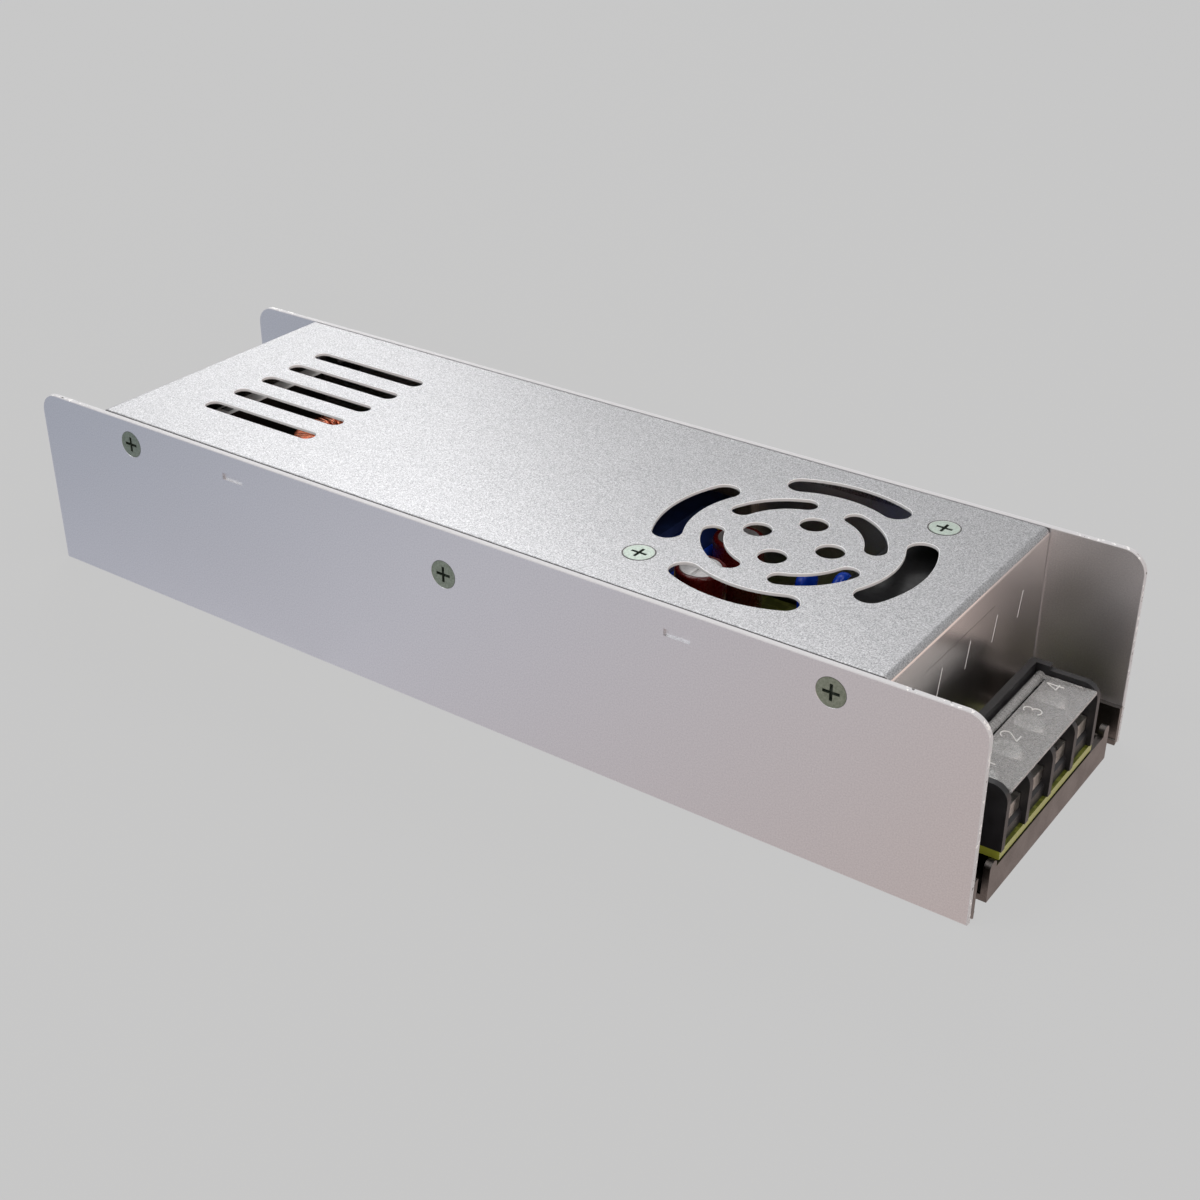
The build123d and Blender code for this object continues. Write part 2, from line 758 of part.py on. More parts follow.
# Power packages: moulded body, metal tab and three leads down to the board
package_places = [
    (-1, -19.0 * lengthwise, "power_transistors"),
    (-1, 12.0 * lengthwise, "output_rectifiers"),
    (-1, 24.0 * lengthwise, "output_rectifiers"),
    (1, -19.0 * lengthwise, "power_transistors"),
    (1, -7.5 * lengthwise, "power_transistors"),
]

# One package on its back: local y is up from the board, local z points off the spreader
with BuildPart() as one_package:
    with BuildSketch():
        with Locations((0, lead_rise + package_height / 2)):
            Rectangle(package_width, package_height)
    extrude(amount=package_depth)
    chamfer(one_package.faces().sort_by(Axis.Z)[-1].edges(), package_depth / 8)
    with BuildSketch():
        with Locations((0, lead_rise + package_height + tab_rise / 2)):
            Rectangle(package_width, tab_rise)
            Circle(screw_shank_radius, mode=Mode.SUBTRACT)
    extrude(amount=tab_sheet)
    with BuildSketch(Plane.XY.offset(package_depth / 2)):
        with Locations((0, lead_rise / 2)):
            with GridLocations(package_width / 4, 0, 3, 1):
                Rectangle(lead_width, lead_rise)
    extrude(amount=lead_width / 2)

for group_name in ("power_transistors", "output_rectifiers"):
    with BuildPart() as packages:
        for side, x, member_of in package_places:
            if member_of == group_name:
                spreader_side = side * (inner_half_width - spreader_sheet)
                back_face = Plane(
                    origin=(x, spreader_side, board_top), x_dir=(side, 0, 0), z_dir=(0, -side, 0)
                )
                with Locations(back_face):
                    add(one_package.part)
    packages.part.label = group_name
    export_step(packages.part, f"parts/{group_name}.step")

# Input choke: ring core lying flat on its base, with its copper winding as one ridged shell
winding_play = winding_sheet + winding_ridge
choke_middle = board_top + choke_base_rise + winding_play + choke_core_height / 2
core_thickness = choke_outer_radius - choke_inner_radius
core_round = core_thickness / 5
section_middle = (choke_outer_radius + choke_inner_radius) / 2
with BuildPart() as choke_base:
    with BuildSketch(Plane.XY.offset(board_top)):
        with Locations((choke_x, choke_y)):
            Circle(choke_base_radius)
    extrude(amount=choke_base_rise)
    chamfer(choke_base.edges().group_by(Axis.Z)[-1], choke_base_rise / 5)
choke_base.part.label = "choke_base"
export_step(choke_base.part, "parts/choke_base.step")

with BuildPart() as choke_core:
    with BuildSketch(Plane.XZ):
        with Locations((section_middle, 0)):
            RectangleRounded(core_thickness, choke_core_height, core_round)
    revolve(axis=Axis.Z)
choke_core.part.locate(Location((choke_x, choke_y, choke_middle)))
choke_core.part.label = "choke_core"
export_step(choke_core.part, "parts/choke_core.step")

with BuildPart() as choke_winding:
    with BuildSketch(Plane.XZ):
        with Locations((section_middle, 0)):
            RectangleRounded(
                core_thickness + 2 * winding_sheet,
                choke_core_height + 2 * winding_sheet,
                core_round + winding_sheet,
            )
            RectangleRounded(core_thickness, choke_core_height, core_round, mode=Mode.SUBTRACT)
    revolve(axis=Axis.Z)
    # Ridges stand for the turns of wire
    for turn in range(winding_ridges):
        spoke = Plane.XZ.rotated((0, 0, 360 * turn / winding_ridges))
        with BuildSketch(spoke):
            with Locations((section_middle, 0)):
                RectangleRounded(
                    core_thickness + 2 * winding_play,
                    choke_core_height + 2 * winding_play,
                    core_round + winding_play,
                )
                RectangleRounded(
                    core_thickness + winding_sheet,
                    choke_core_height + winding_sheet,
                    core_round,
                    mode=Mode.SUBTRACT,
                )
        extrude(amount=winding_ridge_width / 2, both=True)
choke_winding.part.locate(Location((choke_x, choke_y, choke_middle)))
choke_winding.part.label = "choke_winding"
export_step(choke_winding.part, "parts/choke_winding.step")

# Inrush resistor: upright ceramic bar with a cement filled pocket near its front end
pocket_y = resistor_y - resistor_length / 2 + pocket_length
with BuildPart() as inrush_resistor:
    with BuildSketch(Plane.XY.offset(board_top)):
        with Locations((resistor_x, resistor_y)):
            Rectangle(resistor_width, resistor_length)
    extrude(amount=resistor_top - board_top)
    chamfer(inrush_resistor.edges().group_by(Axis.Z)[-1], plate_edge_break * 2)
    with BuildSketch(Plane.XY.offset(resistor_top)):
        with Locations((resistor_x, pocket_y)):
            Rectangle(pocket_width, pocket_length)
    extrude(amount=-pocket_depth, mode=Mode.SUBTRACT)
inrush_resistor.part.label = "inrush_resistor"
export_step(inrush_resistor.part, "parts/inrush_resistor.step")

with BuildPart() as resistor_cement:
    with BuildSketch(Plane.XY.offset(resistor_top - pocket_depth)):
        with Locations((resistor_x, pocket_y)):
            Rectangle(pocket_width, pocket_length)
    extrude(amount=cement_rise)
resistor_cement.part.label = "resistor_cement"
export_step(resistor_cement.part, "parts/resistor_cement.step")

# Bridge rectifier standing on its four leads behind the resistor
bridge_x = resistor_x - resistor_width / 2 - bridge_gap - bridge_depth / 2
with BuildPart() as bridge_rectifier:
    with BuildSketch(Plane.XY.offset(board_top + lead_rise)):
        with Locations((bridge_x, resistor_y)):
            Rectangle(bridge_depth, bridge_width)
    extrude(amount=bridge_height)
    chamfer(bridge_rectifier.edges().filter_by(Axis.Z).group_by(Axis.X)[0], bridge_depth / 4)
    with BuildSketch(Plane.XY.offset(board_top)):
        with Locations((bridge_x, resistor_y)):
            with GridLocations(0, bridge_width / 4, 1, 4):
                Rectangle(lead_width, lead_width)
    extrude(amount=lead_rise)
bridge_rectifier.part.label = "bridge_rectifier"
export_step(bridge_rectifier.part, "parts/bridge_rectifier.step")

# Fuse in its two clips, lying along the back edge of the board
fuse_y = board_half_width - fuse_edge_gap
fuse_axis_height = board_top + fuse_axis_rise
with BuildPart() as fuse:
    with BuildSketch(Plane(origin=(fuse_x, fuse_y, fuse_axis_height), z_dir=(1, 0, 0))):
        Circle(fuse_radius)
    extrude(amount=fuse_length / 2, both=True)
    fillet(fuse.edges(), fuse_radius / 8)
fuse.part.label = "fuse"
export_step(fuse.part, "parts/fuse.step")

with BuildPart() as fuse_clips:
    for s in (-1, 1):
        clip_plane = Plane(
            origin=(fuse_x + s * (fuse_length - fuse_cap_length) / 2, fuse_y, fuse_axis_height),
            x_dir=(0, 1, 0),
            z_dir=(1, 0, 0),
        )
        with BuildSketch(clip_plane):
            Circle(fuse_radius + clip_sheet)
            with Locations((0, -fuse_axis_rise / 2)):
                Rectangle(2 * fuse_radius, fuse_axis_rise)
            Circle(fuse_radius, mode=Mode.SUBTRACT)
            with Locations((0, fuse_radius)):
                Rectangle(fuse_radius, 2 * fuse_radius, mode=Mode.SUBTRACT)
        extrude(amount=fuse_cap_length / 3, both=True)
fuse_clips.part.label = "fuse_clips"
export_step(fuse_clips.part, "parts/fuse_clips.step")

# One lacquered disc upright on two wire leads, its flat faces towards the case's ends
with BuildPart() as one_disc:
    with BuildSketch(Plane.YZ):
        with Locations((0, disc_lead_rise + disc_radius)):
            Circle(disc_radius)
    extrude(amount=disc_sheet / 2, both=True)
    fillet(one_disc.edges(), disc_sheet * 0.45)
    with BuildSketch():
        with GridLocations(0, disc_radius, 1, 2):
            Circle(lead_width / 2)
    extrude(amount=disc_lead_rise + disc_radius / 2)

# Varistor at the input and a pair of disc capacitors under the grille
disc_groups = [
    ("varistor", [(varistor_x, varistor_edge_gap - board_half_width)]),
    ("blue_disc_capacitors", disc_capacitor_places),
]
for group_name, disc_places in disc_groups:
    with BuildPart() as discs:
        with Locations(*[(x, y, board_top) for x, y in disc_places]):
            add(one_disc.part)
    discs.part.label = group_name
    export_step(discs.part, f"parts/{group_name}.step")


def can_capacitor(radius, height):
    """Upright can with a rolled groove near its foot and a crimped rim, standing on z = 0."""
    groove = radius / 12
    foot = radius / 3
    rim = radius / 10
    with BuildPart() as can:
        with BuildSketch(Plane.XZ):
            with BuildLine():
                Polyline(
                    (0, 0),
                    (radius - groove, 0),
                    (radius, groove),
                    (radius, foot),
                    (radius - groove, foot + groove),
                    (radius, foot + 2 * groove),
                    (radius, height - rim),
                    (radius - rim, height),
                    (radius - 2 * rim, height),
                    (radius - 2.4 * rim, height - rim / 2),
                    (0, height - rim / 2),
                    close=True,
                )
            make_face()
        revolve(axis=Axis.Z)
    return can.part


# Can capacitors, as (node, radius, height, places on the board)
can_groups = [
    ("bulk_capacitors", bulk_can_radius, bulk_can_height, bulk_can_places),
    ("output_capacitors", output_can_radius, output_can_height, output_can_places),
]
for group_name, can_radius, can_height, can_places in can_groups:
    one_can = can_capacitor(can_radius, can_height)
    with BuildPart() as cans:
        with Locations(*[(x, y, board_top) for x, y in can_places]):
            add(one_can)
    cans.part.label = group_name
    export_step(cans.part, f"parts/{group_name}.step")

# Transformer core: two yokes joined by a leg under the coil, one over it and one through it
with BuildPart() as transformer_core:
    with BuildSketch(Plane.XY.offset(board_top)):
        with Locations((transformer_x, transformer_y)):
            with GridLocations(0, transformer_length - yoke_thickness, 1, 2):
                Rectangle(yoke_width, yoke_thickness)
    extrude(amount=transformer_height)
    leg_length = transformer_length - yoke_thickness
    for rise, width, sheet in (
        (0, leg_width, leg_sheet),
        (transformer_height - leg_sheet, leg_width, leg_sheet),
        ((transformer_height - core_leg_side) / 2, core_leg_side, core_leg_side),
    ):
        with BuildSketch(Plane.XY.offset(board_top + rise)):
            with Locations((transformer_x, transformer_y)):
                Rectangle(width, leg_length)
        extrude(amount=sheet)
transformer_core.part.label = "transformer_core"
export_step(transformer_core.part, "parts/transformer_core.step")

# Taped coil between the yokes, bulging past the legs on both sides
coil_length = transformer_length - 2 * yoke_thickness - 2 * coil_gap
coil_height = transformer_height - 2 * leg_sheet - 2 * coil_gap
coil_plane = Plane(
    origin=(transformer_x, transformer_y, board_top + transformer_height / 2),
    x_dir=(1, 0, 0),
    z_dir=(0, -1, 0),
)
with BuildPart() as transformer_coil:
    with BuildSketch(coil_plane):
        RectangleRounded(2 * coil_half_width, coil_height, coil_corner)
        Rectangle(core_leg_side + 2 * coil_gap, core_leg_side + 2 * coil_gap, mode=Mode.SUBTRACT)
    extrude(amount=coil_length / 2, both=True)
transformer_coil.part.label = "transformer_coil"
export_step(transformer_coil.part, "parts/transformer_coil.step")

# Output choke: black potted block
with BuildPart() as output_choke:
    with BuildSketch(Plane.XY.offset(board_top)):
        with Locations((output_choke_x, output_choke_y)):
            RectangleRounded(output_choke_width, output_choke_length, output_choke_corner)
    extrude(amount=output_choke_height)
    fillet(output_choke.edges().group_by(Axis.Z)[-1], output_choke_corner / 2)
output_choke.part.label = "output_choke"
export_step(output_choke.part, "parts/output_choke.step")

# Box film capacitor near the input
with BuildPart() as film_capacitor:
    with BuildSketch(Plane.XY.offset(board_top)):
        with Locations((film_box_x, film_box_edge_gap - board_half_width)):
            RectangleRounded(film_box_length, film_box_width, box_corner)
    extrude(amount=film_box_height)
    fillet(film_capacitor.edges().group_by(Axis.Z)[-1], box_corner * 0.75)
film_capacitor.part.label = "film_capacitor"
export_step(film_capacitor.part, "parts/film_capacitor.step")

# Upright control card with its driver chips
with BuildPart() as control_card:
    with BuildSketch(Plane(origin=(card_x, 0, board_top), x_dir=(0, 1, 0), z_dir=(1, 0, 0))):
        with Locations((0, card_height / 2)):
            Rectangle(2 * card_half_width, card_height)
    extrude(amount=card_sheet)
control_card.part.label = "control_card"
export_step(control_card.part, "parts/control_card.step")

with BuildPart() as control_chips:
    chip_plane = Plane(origin=(card_x, 0, board_top), x_dir=(0, -1, 0), z_dir=(-1, 0, 0))
    with BuildSketch(chip_plane):
        with Locations((-card_half_width / 2, card_height / 2), (card_half_width / 2, card_height / 2)):
            Rectangle(chip_length, chip_width)
    extrude(amount=chip_sheet)
control_chips.part.label = "control_chips"
export_step(control_chips.part, "parts/control_chips.step")
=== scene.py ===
import json
import math

import bmesh
import bpy
import numpy as np
from mathutils import Matrix, Vector

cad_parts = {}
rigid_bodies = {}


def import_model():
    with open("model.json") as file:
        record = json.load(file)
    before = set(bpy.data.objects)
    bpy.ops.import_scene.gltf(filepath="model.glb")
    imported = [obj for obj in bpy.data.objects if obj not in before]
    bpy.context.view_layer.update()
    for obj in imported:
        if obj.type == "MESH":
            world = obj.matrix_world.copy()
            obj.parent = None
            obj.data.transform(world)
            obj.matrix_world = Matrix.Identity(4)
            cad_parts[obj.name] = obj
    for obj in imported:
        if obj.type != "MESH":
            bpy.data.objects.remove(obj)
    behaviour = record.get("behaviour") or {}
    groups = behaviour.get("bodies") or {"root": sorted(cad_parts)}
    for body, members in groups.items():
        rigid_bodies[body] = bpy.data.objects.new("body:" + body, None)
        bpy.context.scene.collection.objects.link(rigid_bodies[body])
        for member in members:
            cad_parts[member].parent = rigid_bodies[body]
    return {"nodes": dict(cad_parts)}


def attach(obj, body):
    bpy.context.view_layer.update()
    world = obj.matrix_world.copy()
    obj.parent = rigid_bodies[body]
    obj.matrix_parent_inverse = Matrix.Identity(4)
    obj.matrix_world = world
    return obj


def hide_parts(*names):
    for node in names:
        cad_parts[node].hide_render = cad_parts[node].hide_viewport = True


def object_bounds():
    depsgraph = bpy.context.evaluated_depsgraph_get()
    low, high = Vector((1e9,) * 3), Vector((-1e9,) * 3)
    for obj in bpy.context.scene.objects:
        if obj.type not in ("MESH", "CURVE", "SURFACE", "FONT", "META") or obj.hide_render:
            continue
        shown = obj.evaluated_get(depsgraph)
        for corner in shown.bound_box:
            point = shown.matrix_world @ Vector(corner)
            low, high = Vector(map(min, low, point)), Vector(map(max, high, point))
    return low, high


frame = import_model()
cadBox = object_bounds()
nodes = frame["nodes"]
print("stage: frame loaded,", len(nodes), "nodes")

mm = 0.001
mergeWithin = 0.001 * mm  # points nearer than this are one point
noiseSpan = {"From Min": 0.3, "From Max": 0.7}  # where nearly all of a noise's values lie
blotchSpan = {"From Min": 0.35, "From Max": 0.65}  # narrower, so blotches reach both ends
inScene = bpy.context.scene.collection.objects


def linear(hexText):  # sRGB hex to linear rgba
    parts = [int(hexText[i:i + 2], 16) / 255 for i in (1, 3, 5)]
    return [c / 12.92 if c <= 0.04045 else ((c + 0.055) / 1.055) ** 2.4 for c in parts] + [1.0]


def addNode(tree, kind, links=None, **settings):
    # one node: keyword values are its settings, links gives its inputs by name or number
    node = tree.nodes.new(kind)
    for key, value in settings.items():
        setattr(node, key, value)
    for key, value in (links or {}).items():
        if isinstance(value, bpy.types.NodeSocket):
            tree.links.new(value, node.inputs[key])
        else:
            node.inputs[key].default_value = value
    return node


def startMaterial(name):  # an empty material and the object's own coordinates in metres
    material = bpy.data.materials.new(name)
    material.use_nodes = True
    tree = material.node_tree
    tree.nodes.clear()
    return material, tree, addNode(tree, "ShaderNodeTexCoord").outputs["Object"]


def endMaterial(material, height, depth, links):
    # the bump of a height pattern, its depth in millimetres, then the shader and the output
    tree = material.node_tree
    bump = addNode(tree, "ShaderNodeBump",
                   {"Height": height, "Distance": depth * mm, "Strength": 1.0})
    shader = addNode(tree, "ShaderNodeBsdfPrincipled",
                     {**links, "Normal": bump.outputs["Normal"]})
    addNode(tree, "ShaderNodeOutputMaterial", {"Surface": shader.outputs["BSDF"]})
    return material


def layered(tree, under, *coats):
    # colours laid over each other: each coat is a mask and the colour that shows where it is 1
    tone = linear(under) if isinstance(under, str) else under
    for mask, hexText in coats:
        tone = addNode(tree, "ShaderNodeMix", {0: mask, 6: tone, 7: linear(hexText)},
                       data_type="RGBA").outputs[2]
    return tone


def axes(tree, what, signs=True):
    # X, Y and Z of a point's place ("Object") or of its facing ("Normal", "True Normal"),
    # or their sizes without the signs
    kind = "ShaderNodeTexCoord" if what == "Object" else "ShaderNodeNewGeometry"
    vector = addNode(tree, kind).outputs[what]
    if not signs:
        vector = addNode(tree, "ShaderNodeVectorMath", {0: vector},
                         operation="ABSOLUTE").outputs[0]
    return addNode(tree, "ShaderNodeSeparateXYZ", {0: vector}).outputs


def maskWhere(tree, *tests):
    # 1 where every test holds, else 0; a test is a value, an operation and its limits
    mask = None
    for value, operation, *limits in tests:
        held = addNode(tree, "ShaderNodeMath", dict(enumerate([value, *limits])),
                       operation=operation).outputs[0]
        mask = held if mask is None else addNode(
            tree, "ShaderNodeMath", {0: mask, 1: held}, operation="MULTIPLY").outputs[0]
    return mask


# Metals. grain and blotch are the widths of their patterns in millimetres, depth is the bump's.
# Real grit is finer than a pixel, so the grain is drawn as coarse as it needs to show.
metals = {
    # aluminium sheet, rolled and tumbled satin: even fine grit that sparkles, no drawn lines
    "tumbledAluminiumCover": {"dark": "#868689", "pale": "#D8D8DA", "rough": (0.35, 0.37),
                              "grain": 0.24, "blotch": 9.0, "depth": 0.012},
    # aluminium sheet as rolled: smoother than the cover, softly mirrors what stands before it
    "rolledAluminiumPlate": {"dark": "#D6D6D9", "pale": "#E6E6E8", "rough": (0.40, 0.44),
                             "grain": 0.30, "blotch": 12.0, "depth": 0.004},
    # the same sheet inside the case, in its shade: darker and glossier
    "rolledAluminiumTray": {"dark": "#66625F", "pale": "#787370", "rough": (0.28, 0.38),
                            "grain": 0.35, "blotch": 5.0, "depth": 0.004},
    # sawn aluminium bar: matt, fine saw lines upright
    "sawnAluminiumBar": {"dark": "#DCCABC", "pale": "#F2E2D6", "rough": (0.50, 0.62),
                         "grain": 0.30, "blotch": 4.0, "depth": 0.020, "drawn": (1, 1, 14)},
    # pressed can aluminium: bright, a little cloudy
    "pressedAluminiumCan": {"dark": "#E4E2E2", "pale": "#F6F4F4", "rough": (0.50, 0.60),
                            "grain": 0.50, "blotch": 2.5, "depth": 0.004},
    # steel, zinc plated and olive passivated: dull grey green
    "oliveZincSteel": {"dark": "#7F8878", "pale": "#9AA393", "rough": (0.36, 0.50),
                       "grain": 0.45, "blotch": 2.0, "depth": 0.010},
    # steel, bright zinc plated: pale with a breath of green
    "brightZincSteel": {"dark": "#CBD2C8", "pale": "#E6EBE2", "rough": (0.22, 0.34),
                        "grain": 0.45, "blotch": 2.0, "depth": 0.008},
    # the same plating handled: greyer and duller, on the two screws by the grille
    "brightZincScrew": {"dark": "#A9B4AB", "pale": "#C3CEC5", "rough": (0.42, 0.50),
                        "grain": 0.45, "blotch": 2.0, "depth": 0.008},
    # the plating on the terminal screws: painted nearly white, painted light on their heads, and
    # soft
    "paintedLitZincScrew": {"dark": "#F0F4F1", "pale": "#FFFFFF", "rough": (0.46, 0.56),
                       "grain": 0.45, "blotch": 2.0, "depth": 0.008},
    # stamped brass, tin plated: soft warm grey
    "tinnedBrass": {"dark": "#BAB8B1", "pale": "#DAD8D2", "rough": (0.26, 0.42),
                    "grain": 0.70, "blotch": 2.5, "depth": 0.008},
    # turned brass, nickel plated: yellower and glossier
    "nickelledBrass": {"dark": "#AFA791", "pale": "#D0C9B5", "rough": (0.20, 0.34),
                       "grain": 0.60, "blotch": 2.0, "depth": 0.006},
    # round copper wire under clear enamel: orange, glossy
    "enamelledCopperWire": {"dark": "#B8543A", "pale": "#E08A62", "rough": (0.18, 0.28),
                            "grain": 0.80, "blotch": 3.0, "depth": 0.004, "coat": 0.6},
}


def metalFinish(name, look):
    # a fine grain sets tone and bump, a wider blotch sets the roughness
    material, tree, coords = startMaterial(name)
    spacing = [1 / (look["grain"] * mm * part) for part in look.get("drawn", (1, 1, 1))]
    placed = addNode(tree, "ShaderNodeMapping", {"Vector": coords, "Scale": spacing})
    grain = addNode(tree, "ShaderNodeTexNoise",
                    {"Vector": placed.outputs["Vector"], "Scale": 1.0, "Detail": 2.0,
                     "Roughness": 0.65}).outputs["Fac"]
    blotch = addNode(tree, "ShaderNodeTexNoise",
                     {"Vector": coords, "Scale": 1 / (look["blotch"] * mm),
                      "Detail": 3.0}).outputs["Fac"]
    tone = addNode(tree, "ShaderNodeMapRange", {"Value": grain, **noiseSpan})
    low, high = look["rough"]
    rough = addNode(tree, "ShaderNodeMapRange",
                    {"Value": blotch, **blotchSpan, "To Min": low, "To Max": high})
    return endMaterial(material, grain, look["depth"], {
        "Base Color": layered(tree, look["dark"], (tone.outputs["Result"], look["pale"])),
        "Metallic": 1.0, "Roughness": rough.outputs["Result"],
        "Coat Weight": look.get("coat", 0.0)})


# Plastics, ceramics and lacquers, with the same measures; coat is a clear gloss over them
mouldings = {
    # glass filled polyamide, moulded: black with a fine spark-eroded skin
    "mouldedPolyamideBlock": {"dark": "#1A1A1C", "pale": "#262629", "rough": 0.40,
                              "grain": 0.25, "blotch": 3.0, "depth": 0.010},
    # epoxy moulded round a chip: blacker and more matt
    "mouldedEpoxyPackage": {"dark": "#121214", "pale": "#1B1B1E", "rough": 0.52,
                            "grain": 0.22, "blotch": 2.5, "depth": 0.010},
    # sintered ferrite under dark tape: blue black, slightly waxy
    "tapedFerrite": {"dark": "#2A3866", "pale": "#364880", "rough": 0.38,
                     "grain": 0.40, "blotch": 5.0, "depth": 0.010, "coat": 0.2},
    # bare sintered ferrite: charcoal and matt
    "sinteredFerrite": {"dark": "#1B1A1D", "pale": "#2C2A2E", "rough": 0.60,
                        "grain": 0.30, "blotch": 4.0, "depth": 0.020},
    # potting compound: black, smooth as poured
    "pouredPotting": {"dark": "#0B0B0D", "pale": "#141416", "rough": 0.46,
                      "grain": 1.2, "blotch": 8.0, "depth": 0.015},
    # drawn polyester film: milky and smooth
    "polyesterFilm": {"dark": "#C7C7C0", "pale": "#DADAD4", "rough": 0.30,
                      "grain": 2.0, "blotch": 12.0, "depth": 0.010},
    # dipped epoxy lacquer: saturated blue, thick and glossy
    "dippedBlueLacquer": {"dark": "#0A44E6", "pale": "#1A60FF", "rough": 0.24,
                          "grain": 0.9, "blotch": 3.0, "depth": 0.020, "coat": 0.6},
    # moulded box of a film capacitor: navy with a low gloss
    "mouldedNavyBox": {"dark": "#0E1D4C", "pale": "#182B66", "rough": 0.32,
                       "grain": 0.30, "blotch": 5.0, "depth": 0.008},
    # pressed and fired ceramic: white and chalky
    "firedWhiteCeramic": {"dark": "#F2F2F1", "pale": "#FDFDFC", "rough": 0.50,
                          "grain": 0.25, "blotch": 3.0, "depth": 0.012},
    # cement filling: grey and sandy
    "resistorCement": {"dark": "#6F7071", "pale": "#8F9091", "rough": 0.85,
                       "grain": 0.28, "blotch": 1.2, "depth": 0.060},
    # PVC sleeve shrunk over a can: deep red gloss
    "shrunkRedSleeve": {"dark": "#5E0F0E", "pale": "#7C1612", "rough": 0.28,
                        "grain": 0.6, "blotch": 4.0, "depth": 0.008, "coat": 0.4},
}
mouldedSkin = {"spread": 0.15, "coatRough": 0.08}  # the roughness varies by this share


def mouldedFinish(name, look):
    # a cloudy blotch sets tone, a fine grain sets roughness and bump
    material, tree, coords = startMaterial(name)
    blotch, grain = (addNode(tree, "ShaderNodeTexNoise",
                             {"Vector": coords, "Scale": 1 / (look[width] * mm),
                              "Detail": 2.0}).outputs["Fac"] for width in ("blotch", "grain"))
    tone = addNode(tree, "ShaderNodeMapRange", {"Value": blotch, **noiseSpan})
    rough = addNode(tree, "ShaderNodeMapRange",
                    {"Value": grain, **noiseSpan,
                     "To Min": look["rough"] * (1 - mouldedSkin["spread"]),
                     "To Max": look["rough"] * (1 + mouldedSkin["spread"])})
    return endMaterial(material, grain, look["depth"], {
        "Base Color": layered(tree, look["dark"], (tone.outputs["Result"], look["pale"])),
        "Roughness": rough.outputs["Result"], "Coat Weight": look.get("coat", 0.0),
        "Coat Roughness": mouldedSkin["coatRough"]})


finishes = {name: metalFinish(name, look) for name, look in metals.items()}
finishes.update({name: mouldedFinish(name, look) for name, look in mouldings.items()})


def shaderOf(material):
    return next(node for node in material.node_tree.nodes if node.type == "BSDF_PRINCIPLED")


def repaint(material, mask, hexText):
    # where the mask is 1 a second colour lies over the first, and the surface isn't metallic
    tree, shader = material.node_tree, shaderOf(material)
    base, metallic = shader.inputs["Base Color"], shader.inputs["Metallic"]
    tree.links.new(layered(tree, base.links[0].from_socket, (mask, hexText)), base)
    bare = addNode(tree, "ShaderNodeMath", {0: metallic.default_value, 1: mask},
                   operation="SUBTRACT", use_clamp=True).outputs[0]
    if metallic.links:
        before = metallic.links[0].from_socket
        bare = addNode(tree, "ShaderNodeMath", {0: before, 1: bare},
                       operation="MINIMUM").outputs[0]
    tree.links.new(bare, metallic)


# Plate rims are cut, and painted pale and not metallic there: a painted highlight along them.
# Near the case's corners they are chipped bright with dark specks.
# inward and outward are what the chips' noise gains at the two sides of the worn band, or loses
# for the dark specks
rimWearAndHighlight = {"chip": 1.1, "reach": 0.5, "fromX": 95.0, "cut": "#D8D8DB", "bright": "#FFFFFF",
           "dark": "#4A4644", "edgeFacing": 0.9, "edgeBand": 0.4, "brightFrom": 0.66,
           "darkBelow": 0.27, "corner": 4.5, "halfLength": 110.0, "height": 40.0,
           "inward": -0.25, "outward": 0.06}
plate = finishes["rolledAluminiumPlate"]
tree = plate.node_tree
coords = addNode(tree, "ShaderNodeTexCoord").outputs["Object"]
beyond = addNode(tree, "ShaderNodeVectorMath", {0: coords}, operation="ABSOLUTE").outputs[0]
farOut = (addNode(tree, "ShaderNodeSeparateXYZ", {0: beyond}).outputs["X"],
          "GREATER_THAN", rimWearAndHighlight["fromX"] * mm)
# the Y of this start lies outside the case, so only X and Z count towards the rim
cornerStart = ((rimWearAndHighlight["halfLength"] - rimWearAndHighlight["corner"]) * mm, 1.0,
               (rimWearAndHighlight["height"] - rimWearAndHighlight["corner"]) * mm)
for other, operation in ((cornerStart, "SUBTRACT"), ((0, 0, 0), "MAXIMUM")):
    beyond = addNode(tree, "ShaderNodeVectorMath", {0: beyond, 1: other},
                     operation=operation).outputs[0]
reached = addNode(tree, "ShaderNodeVectorMath", {0: beyond}, operation="LENGTH").outputs["Value"]
rim = addNode(tree, "ShaderNodeMapRange",
              {"Value": reached, "From Min": (rimWearAndHighlight["corner"] - rimWearAndHighlight["reach"]) * mm,
               "From Max": rimWearAndHighlight["corner"] * mm, "To Min": rimWearAndHighlight["inward"],
               "To Max": rimWearAndHighlight["outward"]}).outputs["Result"]
chips = addNode(tree, "ShaderNodeTexNoise",
                {"Vector": coords, "Scale": 1 / (rimWearAndHighlight["chip"] * mm),
                 "Detail": 3.0}).outputs["Fac"]
lifted, lowered = (addNode(tree, "ShaderNodeMath", {0: chips, 1: rim},
                           operation=operation).outputs[0] for operation in ("ADD", "SUBTRACT"))
aside = axes(tree, "True Normal", signs=False)["Y"]
# the cut rims get the painted highlight; the bright chips and dark specks are wear
for tests, tone in (
        (((aside, "LESS_THAN", rimWearAndHighlight["edgeFacing"]),
          (reached, "GREATER_THAN", (rimWearAndHighlight["corner"] - rimWearAndHighlight["edgeBand"]) * mm)), "cut"),
        (((lifted, "GREATER_THAN", rimWearAndHighlight["brightFrom"]), farOut), "bright"),
        (((lowered, "LESS_THAN", rimWearAndHighlight["darkBelow"]), farOut), "dark")):
    repaint(plate, maskWhere(tree, *tests), rimWearAndHighlight[tone])
